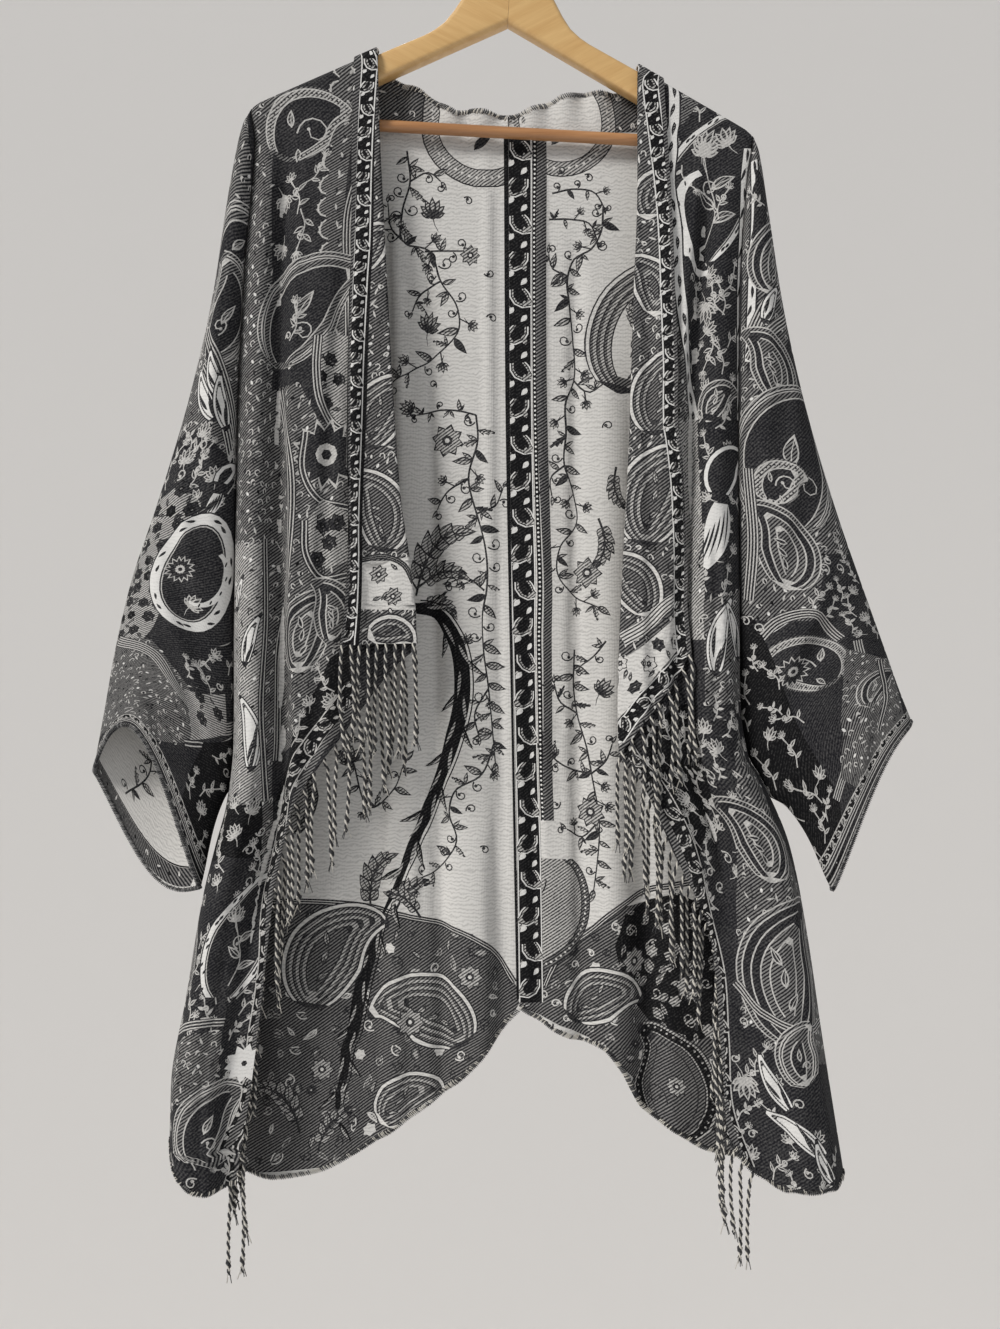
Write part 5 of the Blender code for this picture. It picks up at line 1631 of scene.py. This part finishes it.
def shell(cloth, fine, sparse, materials, fine_inside=False, pale_outside=False):
    """A closed thin shell.

    The face that the photo shows has the fine drawing, the other the sparse one or, if there is none, the
    fine one's negative.
    """
    edge = cloth.outline()
    grid = LAPEL_GRID if pale_outside else GRID
    flat, triangles, tones = imprint(cloth, fine, edge, np.roll(edge, -1, axis=0), grid)
    rim, rim_triangle = open_edges(triangles)
    count = len(flat)
    if sparse is None:
        other, other_triangles, other_tones = flat, triangles, NEGATIVE[tones]
        pair = count + np.arange(count)
    else:
        sparse.clear_of(flat[rim[:, 0]], RIM_CLEAR)
        other, other_triangles, other_tones = imprint(cloth, sparse, flat[rim[:, 0]], flat[rim[:, 1]], grid)
        back_rim = np.unique(open_edges(other_triangles)[0])
        pair = np.zeros(count, int)
        pair[rim[:, 0]] = count + back_rim[matched(flat[rim[:, 0]], other[back_rim])]
    sheets = []
    for places, inside in ((flat, fine_inside), (other, not fine_inside)):
        points, normals = cloth.surface(*cloth.params(places[:, 0], places[:, 1]))
        sheets.append((points - normals * WALL * MM, -normals) if inside else (points, normals))
    vertices = np.concatenate([sheets[0][0], sheets[1][0]])
    normals = np.concatenate([sheets[0][1], sheets[1][1]])
    step = winding(vertices, triangles, normals)
    walls = np.stack([rim[:, 1], rim[:, 0], pair[rim[:, 0]]], axis=1)
    walls_back = np.stack([rim[:, 1], pair[rim[:, 0]], pair[rim[:, 1]]], axis=1)
    faces = np.concatenate([triangles, other_triangles[:, ::-1] + count, walls, walls_back])[:, ::step]
    shift = TONES if pale_outside != fine_inside else 0
    rim_tones = tones[rim_triangle] + shift
    slots = np.concatenate([tones + shift, other_tones + TONES - shift, rim_tones, rim_tones])
    low = flat.min(axis=0)
    wide = np.ptp(flat[:, 0]) + 2 * MAP_MARGIN
    other_low = low - (wide, 0)
    seats = np.concatenate([flat - low + MAP_MARGIN, other - other_low + MAP_MARGIN]) / FLAT_SPAN
    corners = np.ascontiguousarray(seats[faces])
    corners[-2 * len(rim):] = rim_seats(len(rim))[:, ::step]
    sound = whole(faces)
    faces, slots, corners = faces[sound], slots[sound], corners[sound]
    missing = patches(faces)
    faces = np.concatenate([faces, missing])
    slots = np.concatenate([slots, np.full(len(missing), shift)])
    corners = np.concatenate([corners, seats[missing]])
    made = make_object(cloth.name, vertices, faces, slots, materials, normals)
    layer = made.data.uv_layers.new(name=MAP)
    layer.uv.foreach_set("vector", corners.reshape(-1).astype(np.float32))
    return made


class Yarns:
    """Many closed tubes joined into one mesh."""

    def __init__(self):
        self.vertices = []
        self.faces = []
        self.slots = []
        self.count = 0

    def tube(self, path, radius, sides, across, slot):
        """A tube along a path, its ends closed to points; across is a direction that the path never takes."""
        path = np.asarray(path, float)
        ahead = unit(np.gradient(path, axis=0))
        u = unit(np.cross(ahead, across))
        w = np.cross(ahead, u)
        angles = (2 * math.pi * np.arange(sides) / sides)[:, None]
        radius = np.broadcast_to(np.asarray(radius, float), len(path))[:, None, None]
        rings = path[:, None] + radius * (u[:, None] * np.cos(angles) + w[:, None] * np.sin(angles))
        n = len(path)
        index = self.count + np.arange(n * sides).reshape(n, sides)
        nexts = np.roll(index, -1, axis=1)
        quads = np.stack([index[:-1], nexts[:-1], nexts[1:], index[1:]], axis=-1).reshape(-1, 4)
        first, last = self.count + n * sides, self.count + n * sides + 1
        flat = np.concatenate([quads[:, [0, 1, 2]], quads[:, [0, 2, 3]],
                               np.stack([nexts[0], index[0], np.full(sides, first)], axis=1),
                               np.stack([index[-1], nexts[-1], np.full(sides, last)], axis=1)])
        tip = radius[0, 0, 0] * 0.5
        self.vertices.append(np.concatenate([rings.reshape(-1, 3), [path[0] - ahead[0] * tip],
                                             [path[-1] + ahead[-1] * tip]]))
        self.faces.append(flat)
        self.slots.append(np.full(len(flat), slot))
        self.count += n * sides + 2

    def finish(self, name, materials):
        return make_object(name, np.concatenate(self.vertices), np.concatenate(self.faces),
                           np.concatenate(self.slots), materials)


def cord(yarns, root, free, aside, level, rng):
    """A twisted cord that leaves an edge, turns down and ends in a knot and a loose tuft."""
    length = STRAND_LENGTH * rng.uniform(0.78, 1.04)
    lean = rng.uniform(-0.05, 0.05)
    bow = rng.uniform(-3.0, 3.0)
    count = int(length / TWIST * 5)
    t = np.linspace(0, 1, count)
    fall = t * length
    leave = ease(0, 10, fall)
    line = root + (free * (aside * leave)[:, None] + np.stack(
        [lean * fall + bow * np.sin(math.pi * t), -level * leave, -fall], axis=1)) * MM
    phase = rng.uniform(0, 6.28)
    knot = np.exp(-((t - KNOT_AT) / 0.03) ** 2)
    tuft = ease(TUFT_AT, 1.0, t)
    spin = phase + 2 * math.pi * fall / TWIST
    reach = PLY * (0.86 + 0.5 * knot + 1.1 * tuft * np.sin(3 * spin) ** 2)
    thick = PLY * (1 + 0.7 * knot - 0.45 * tuft)
    for ply, share in enumerate(PLY_SHARES):
        angle = spin + math.pi * ply
        path = line + np.stack([reach * np.cos(angle), reach * np.sin(angle), 0 * t], axis=1) * MM
        yarns.tube(path, thick * share * MM, 4, (0, 1, 0), ply)
    drop = np.linspace(0, TUFT, 4)
    for k in range(TUFT_FIBRES):
        spread = np.array([rng.uniform(-0.4, 0.4), rng.uniform(-0.3, 0.3), -1])
        path = line[int(TUFT_AT * count)] + np.outer(drop, spread) * MM
        yarns.tube(path, FIBRE_RADIUS * MM, 3, (0, 1, 0), k % 2)


def looked_up(places, reach, values):
    """Points or directions at places along a run."""
    return np.stack([np.interp(places, reach, values[:, k]) for k in range(3)], axis=-1)


def fringe(name, edge, free_side, count, levels, seed, materials, tucked=(1, 1)):
    """Cords that hang from an edge at different depths; a share of the row is tucked behind the cloth."""
    rng = random.Random(seed)
    reach = reach_of(edge)
    yarns = Yarns()
    line = looked_up(np.linspace(FIRST_CORD * MM, reach[-1] - FIRST_CORD * MM, count), reach, edge)
    ahead = np.gradient(line, axis=0)
    ahead[:, 1] = 0
    free = np.cross(unit(ahead), (0, 1, 0))
    free = free * np.sign(free @ np.array(free_side, float))[:, None]
    for k in range(count):
        if tucked[0] < k / count < tucked[1]:
            cord(yarns, line[k], free[k], -TUCK_IN, -TUCK_BACK, rng)
        else:
            cord(yarns, line[k], free[k], CORD_OFF, levels[k % len(levels)], rng)
    return yarns.finish(name, materials)


def overcast(yarns, points, normals, away, rng, reach, second):
    """Slanting stitches that wrap an edge of the cloth."""
    length = reach_of(points) / MM
    places = np.arange(STITCH / 2, length[-1], STITCH)
    middle = looked_up(places, length, points - normals * WALL / 2 * MM)
    n = looked_up(places, length, normals)
    off = looked_up(places, length, away)
    ahead = unit(np.gradient(middle, axis=0))
    for k in range(len(places)):
        high = reach * rng.uniform(0.75, 1.15)
        wrap = ((1.2, -high, -1.3), (1.5, -high * 0.4, -0.5), (0, 1.2, 0), (-1.5, -high * 0.4, 0.5),
                (-1.2, -high, 1.3))
        path = [middle[k] + (n[k] * x + off[k] * y + ahead[k] * s) * MM for x, y, s in wrap]
        yarns.tube(path, STITCH_RADIUS * MM, 3, ahead[k], 0 if rng.random() < 0.6 else second)


class Shading:
    """A new material, with short calls for the nodes that it needs."""

    def __init__(self, name, roughness, sheen=0.0, metallic=0.0):
        self.material = bpy.data.materials.new(name)
        self.material.use_nodes = True
        self.nodes = self.material.node_tree.nodes
        self.links = self.material.node_tree.links
        self.shader = self.nodes["Principled BSDF"]
        self.give(self.shader, {"Roughness": roughness, "Metallic": metallic, "Sheen Weight": sheen,
                                "Sheen Roughness": 0.5})

    def give(self, node, inputs):
        """Sets a node's inputs to plain values or to other nodes' outputs."""
        for name, value in inputs.items():
            if isinstance(value, bpy.types.NodeSocket):
                self.links.new(value, node.inputs[name])
            else:
                node.inputs[name].default_value = value

    def add(self, kind, inputs):
        node = self.nodes.new("ShaderNode" + kind)
        self.give(node, inputs)
        return node

    def place(self):
        return self.add("TexCoord", {}).outputs["Object"]

    def maths(self, operation, *values):
        node = self.add("Math", dict(enumerate(values)))
        node.operation = operation
        return node.outputs[0]

    def noise(self, place, scale, detail=2.0, distortion=0.0):
        inputs = {"Vector": place, "Scale": scale, "Detail": detail, "Distortion": distortion}
        return self.add("TexNoise", inputs).outputs["Fac"]

    def colour(self, factor, first, second):
        """Base colour that goes from one colour to another."""
        mix = self.nodes.new("ShaderNodeMix")
        mix.data_type = "RGBA"
        self.give(mix, {"A": (*first, 1), "B": (*second, 1), "Factor": factor})
        self.give(self.shader, {"Base Color": mix.outputs["Result"]})

    def bump(self, height, strength, distance):
        node = self.add("Bump", {"Height": height, "Strength": strength, "Distance": distance})
        self.give(self.shader, {"Normal": node.outputs["Normal"]})


def cloth_material(name, dark, pale, share, banding, crepe):
    """Jacquard cloth: a share of pale yarn over dark, with weft lines and, as crepe, wavy ripples across."""
    made = Shading(name, 0.9)
    maths = made.maths
    made.give(made.shader, {"Specular IOR Level": CLOTH_SHINE})
    uv = made.add("UVMap", {})
    uv.uv_map = MAP
    flat = uv.outputs["UV"]
    split = made.add("SeparateXYZ", {0: flat})
    across = split.outputs["X"]
    down = split.outputs["Y"]
    slant = maths("ADD", maths("MULTIPLY", across, 0.7), down)
    weft = maths("SINE", maths("MULTIPLY", slant, FLAT_TURN / WEFT))
    warp = maths("SINE", maths("MULTIPLY", across, FLAT_TURN / WARP))
    fleck = made.noise(flat, FLAT_SPAN * 0.5)
    fold = made.noise(flat, FLAT_SPAN * 0.12, 1.0)
    slub = made.noise(flat, FLAT_SPAN * 0.03, 3.0)
    spread = maths("MULTIPLY", maths("SUBTRACT", fleck, 0.5), 0.9)
    wander = maths("MULTIPLY", maths("SUBTRACT", slub, 0.5), 0.25)
    total = maths("ADD", maths("ADD", spread, wander), maths("MULTIPLY", weft, banding))
    waves = maths("MULTIPLY", down, FLAT_TURN / RIPPLE_LENGTH)
    warped = maths("ADD", maths("MULTIPLY", fold, RIPPLE_WARP), waves)
    total = maths("ADD", total, maths("MULTIPLY", maths("SINE", warped), crepe))
    room = 0.22 + share * (1 - share) * 3
    factor = made.add("Clamp", {"Value": maths("ADD", maths("MULTIPLY", total, room), share)})
    made.colour(factor.outputs[0], dark, pale)
    relief = maths("ADD", maths("MULTIPLY", maths("ADD", weft, warp), 0.3), fleck)
    made.bump(relief, 0.35, 0.0004)
    return made.material


def cloth_materials():
    """All tones of the outer face, then of the inner one."""
    names = ("ground", "line", "hatch", "soft", "deep", "bright")
    made = []
    for face, shares in (("outer", OUTER_SHARES), ("inner", INNER_SHARES)):
        for tone in range(TONES):
            share = shares[tone]
            dark = BLACK_YARN if share < 0.02 else DARK_YARN
            pale = WHITE_YARN if share > 0.98 else PALE_YARN
            banding = HATCH_BANDING if tone in (HATCH, SOFT) else BANDING
            crepe = CREPE if share > 0.9 else 0.0
            name = "cloth_%s_%s" % (face, names[tone])
            made.append(cloth_material(name, dark, pale, share, banding, crepe))
    return made


def yarn_material(name, colour, second):
    """Spun yarn with fine fibres."""
    made = Shading(name, 0.8, 0.2)
    fibres = made.noise(made.place(), 900.0, 3.0)
    made.colour(fibres, colour, second)
    made.bump(fibres, 0.4, 0.0003)
    return made.material


def wood_material(name, pale, dark, lean):
    """Lacquered wood with long grain along a direction in the hanger's plane, leaning by degrees."""
    made = Shading(name, 0.34)
    made.give(made.shader, {"Coat Weight": 0.35, "Coat Roughness": 0.25})
    turn = made.add("Mapping", {"Vector": made.place(), "Rotation": (0, math.radians(lean), 0)})
    stretch = made.add("Mapping", {"Vector": turn.outputs["Vector"], "Scale": (9, 120, 150)})
    grain = made.noise(stretch.outputs["Vector"], 1.0, 5.0, 0.4)
    pores = made.noise(stretch.outputs["Vector"], 6.0, 4.0)
    mixed = made.maths("ADD", made.maths("MULTIPLY", grain, 0.75), made.maths("MULTIPLY", pores, 0.25))
    factor = made.add("MapRange", {"Value": mixed, "From Min": 0.35, "From Max": 0.7})
    made.colour(factor.outputs["Result"], pale, dark)
    made.bump(mixed, 0.12, 0.0003)
    return made.material


def wire_material():
    """Bright plated wire with faint draw marks."""
    made = Shading("hook_wire", 0.2, 0.0, 1.0)
    made.colour(made.noise(made.place(), 240.0), *WIRE_COLOURS)
    return made.material


def stage_material(name, colour):
    made = Shading(name, 0.9)
    made.give(made.shader, {"Base Color": (*colour, 1)})
    return made.material


def wood_arm(name, sign, material):
    """One arm of the hanger: its outline at the arm's thickness, long edges well rounded."""
    bm = bmesh.new()
    outline = [(sign * max(x, 0.1), up) for x, up in WOOD_OUTLINE]
    faces = []
    for depth in (-ARM_HALF, ARM_HALF):
        points = [bm.verts.new(np.array(hanger_point(x, up, depth)) * MM) for x, up in outline]
        faces.append(bm.faces.new(points))
    front, back = [list(face.verts) for face in faces]
    count = len(front)
    for i in range(count):
        j = (i + 1) % count
        bm.faces.new((front[i], front[j], back[j], back[i]))
    bmesh.ops.recalc_face_normals(bm, faces=bm.faces)
    joint = {front[0], front[-1], back[0], back[-1]}
    rims = [e for face in faces for e in face.edges if not set(e.verts) <= joint]
    bmesh.ops.bevel(bm, geom=rims, offset=ARM_ROUND * MM, segments=5, profile=0.5, affect="EDGES")
    mesh = bpy.data.meshes.new(name)
    bm.to_mesh(mesh)
    bm.free()
    mesh.materials.append(material)
    mesh.shade_smooth()
    mesh.set_sharp_from_angle(angle=ARM_CREASE)
    return add_object(name, mesh)


def hook_path():
    """Stem, a short bend, and three quarters of a circle whose inner top is the origin."""
    radius = HOOK_INNER + HOOK_WIRE
    path = [(0, WOOD_TOP - HOOK_SUNK + 3 * k) for k in range(8)]
    stem = path[-1][1]
    loop = []
    for angle in np.linspace(HOOK_FROM, HOOK_TO, 48):
        loop.append((radius * math.cos(angle), APEX_DROP - HOOK_INNER + radius * math.sin(angle)))
    end = loop[0]
    for t in np.linspace(0, 1, 10)[1:-1]:
        path.append((end[0] * t * t * (3 - 2 * t), stem + (end[1] - stem) * t))
    return np.array([hanger_point(x, up) for x, up in path + loop]) * MM


def build_hanger():
    """The two arms, the bar and the hook; bar and hook are single tubes."""
    for side in (LEFT, RIGHT):
        wood = wood_material("hanger_wood_" + side.name, *ARM_WOOD, side.sign * GRAIN_LEAN)
        keep(wood_arm("wood_arm_" + side.name, side.sign, wood), "hanger_wood", "hanger_arm_" + side.name)
    bar = Yarns()
    ends = [np.array(hanger_point(x, BAR_UP)) for x in (-BAR_HALF, BAR_HALF)]
    path = [ends[0] + (ends[1] - ends[0]) * t for t in np.linspace(0, 1, 40)]
    bar.tube(np.array(path) * MM, BAR_RADIUS * MM, 28, (0, 1, 0), 0)
    keep(bar.finish("bar", [wood_material("bar_wood", *BAR_WOOD, 0)]), "bar_wood", "hanger_bar")
    hook = Yarns()
    hook.tube(hook_path(), HOOK_WIRE * MM, 14, (0, 1, 0), 0)
    keep(hook.finish("hook", [wire_material()]), "hook_wire", "hanger_hook")


def keep(piece, slot_name, *nodes):
    """Every piece rides on the one body and stands for its nodes, which it hides; the slot name is not used.
    """
    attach(piece, "root")
    if nodes:
        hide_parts(*nodes)
    return piece


def edge_run(cloth, a, b, inward):
    """Points, normals and the way off the cloth along an edge; inward is a step of b onto the cloth."""
    points, normals = cloth.surface(a, b)
    away = np.cross(unit(np.gradient(points, axis=0)), normals)
    onto = cloth.surface(a, b + inward)[0] - points
    return points, normals, away * -np.sign((away * onto).sum(axis=1, keepdims=True))


def hem(rows):
    """Drop of a lower edge over the width of its cloth."""
    return lambda side, a: along(rows, "drop", np.clip(a, 0, 1))


def back_crest(side, a):
    return crest(side, side.front[0].outer * a)


def sleeve_top(side, a):
    return 0 * a


def sleeve_end(side, a):
    return 0 * a + 1


def build_edging(side, front, back, sleeve, yarn):
    """Overcast stitches along the hems, the back's neck edge and the cuff."""
    rng = random.Random(side.seed)
    stitches = Yarns()
    across = np.linspace(0, 1, EDGE_POINTS)
    neck = np.linspace(0, NECK_STITCHED, NECK_POINTS)
    around = np.linspace(0, 2, CUFF_POINTS)
    runs = (
        (back, across, back.low(side, across), -1.0, STITCH_REACH, CREAM),
        (front, across, front.low(side, across), -1.0, STITCH_REACH, CREAM),
        (back, neck, back.top(side, neck), 1.0, STITCH_REACH, CREAM),
        (sleeve, around, sleeve.low(side, around), -0.004, CUFF_REACH, GREY))
    for cloth, a, b, inward, reach, second in runs:
        overcast(stitches, *edge_run(cloth, a, b, inward), rng, reach, second)
    return keep(stitches.finish("edging_" + side.name, yarn), "cloth")


def build_front_fringe(side, front, yarn):
    """Cords down the front edge from the lapel's corner and a little along the hem."""
    corner = max(row.drop for row in side.lapel_end)
    drops = np.linspace(corner, side.front_hem[0].drop, 60)
    tail = np.linspace(0, side.tail, 12)[1:]
    points, normals = front.surface(np.concatenate([0 * drops, tail]),
                                    np.concatenate([drops, front.low(side, tail)]))
    edge = points - normals * WALL / 2 * MM
    cords = fringe("cords_front_" + side.name, edge, (-side.sign, 0, -0.6), FRONT_CORDS, FRONT_LEVELS,
                   FRONT_CORD_SEED, yarn, side.tucked)
    return keep(cords, "cord", "fringe_front_" + side.name)


def build_lapel_fringe(side, lapel, yarn):
    """Cords along the lapel's lower end."""
    across = np.linspace(0, 1, 40)
    edge = lapel.surface(across, lapel.low(side, across))[0]
    cords = fringe("cords_lapel_" + side.name, edge, (0, 0, -1), LAPEL_CORDS, LAPEL_LEVELS,
                   LAPEL_CORD_SEED, yarn)
    return keep(cords, "cord", "fringe_lapel_" + side.name)


def build_side(side, layouts, materials, yarn):
    """All cloth, edging and fringe of one half of the garment."""
    name = side.name
    front = Cloth("cloth_front_" + name, side, front_face, (0.0, 1.0), front_top, hem(side.front_hem),
                  front_top, 1)
    back = Cloth("cloth_back_" + name, side, back_face, (0.0, 1.0), back_top, hem(side.back_hem),
                 back_crest, 0)
    sleeve = Cloth("cloth_sleeve_" + name, side, sleeve_face, (0.0, 2.0), sleeve_top, sleeve_end, None, 1)
    lapel = Cloth("cloth_lapel_" + name, side, lapel_face, (-ROLL, 1.0), lapel_top, hem(side.lapel_end),
                  lapel_top, 1)
    pieces = {}
    for cloth, layout in zip((front, back, sleeve, lapel), layouts):
        fine = draw(cloth, layout, side.seed, cloth in (back, lapel))
        sparse = None if cloth is back else Drawing()
        if cloth is sleeve:
            past_fold(fine, cloth, random.Random(side.seed + 2))
            cuff_drawing(cloth, fine, sparse, random.Random(side.seed + 3))
        pieces[cloth.name] = shell(cloth, fine, sparse, materials, cloth is back, cloth is lapel)
    keep(pieces[front.name], "cloth", "front_" + name)
    keep(pieces[back.name], "cloth", "back_" + name)
    keep(pieces[sleeve.name], "cloth", "sleeve_front_" + name, "sleeve_back_upper_" + name,
         "sleeve_back_lower_" + name)
    keep(pieces[lapel.name], "cloth_inside", "lapel_" + name)
    edging = build_edging(side, front, back, sleeve, yarn)
    front_fringe = build_front_fringe(side, front, yarn)
    lapel_fringe = build_lapel_fringe(side, lapel, yarn)


def soft_sun(name, way, strength, spread, colour):
    """Wide even light that travels along a direction."""
    light = bpy.data.lights.new(name, "SUN")
    light.energy = strength
    light.angle = math.radians(spread)
    light.color = colour
    add_object(name, light).rotation_euler = Vector(way).to_track_quat("-Z", "Y").to_euler()


def stage_plane(name, corners, colour):
    mesh = bpy.data.meshes.new(name)
    mesh.from_pydata(corners, [], [(0, 1, 2, 3)])
    mesh.materials.append(stage_material(name, colour))
    add_object(name, mesh)


def build_stage():
    """The photo's camera, a plain wall and floor, and soft light from the upper left."""
    camera = add_object("camera", bpy.data.cameras.new("camera"))
    camera.location = (CAMERA_X * MM, -VIEW_DISTANCE * MM, -CAMERA_DROP * MM)
    camera.rotation_euler = (math.pi / 2, 0, 0)
    camera.data.sensor_fit = "VERTICAL"
    camera.data.angle_y = 2 * math.atan(PHOTO_HIGH * PIXEL / 2 / VIEW_DISTANCE)
    bpy.context.scene.camera = camera
    near = [(-STAGE_HALF, -STAGE_HALF, FLOOR_Z), (STAGE_HALF, -STAGE_HALF, FLOOR_Z)]
    far = [(STAGE_HALF, WALL_Y, FLOOR_Z), (-STAGE_HALF, WALL_Y, FLOOR_Z)]
    high = [(STAGE_HALF, WALL_Y, WALL_TOP), (-STAGE_HALF, WALL_Y, WALL_TOP)]
    stage_plane("floor", near + far, FLOOR_COLOUR)
    stage_plane("backdrop", far[::-1] + high, WALL_COLOUR)
    soft_sun("key", (0.85, 0.72, -0.75), 2.6, 18, (1, 0.98, 0.95))
    soft_sun("fill", (-0.8, 0.7, -0.1), 0.2, 40, (0.94, 0.97, 1))
    soft_sun("rear", (0.3, -0.8, -0.6), 1.3, 40, (1, 1, 1))
    world = bpy.data.worlds.new("world")
    world.use_nodes = True
    back = world.node_tree.nodes["Background"]
    back.inputs["Color"].default_value = (0.80, 0.81, 0.83, 1)
    back.inputs["Strength"].default_value = 0.36
    bpy.context.scene.world = world
    bpy.context.scene.view_settings.view_transform = "Standard"


build_stage()
cloth_tones = cloth_materials()
cord_tones = [yarn_material(*colours) for colours in CORD_YARNS]
build_hanger()
build_side(LEFT, (FRONT_LEFT, BACK_LEFT, SLEEVE_LEFT, LAPEL_LEFT), cloth_tones, cord_tones)
build_side(RIGHT, (FRONT_RIGHT, BACK_RIGHT, SLEEVE_RIGHT, LAPEL_RIGHT), cloth_tones, cord_tones)
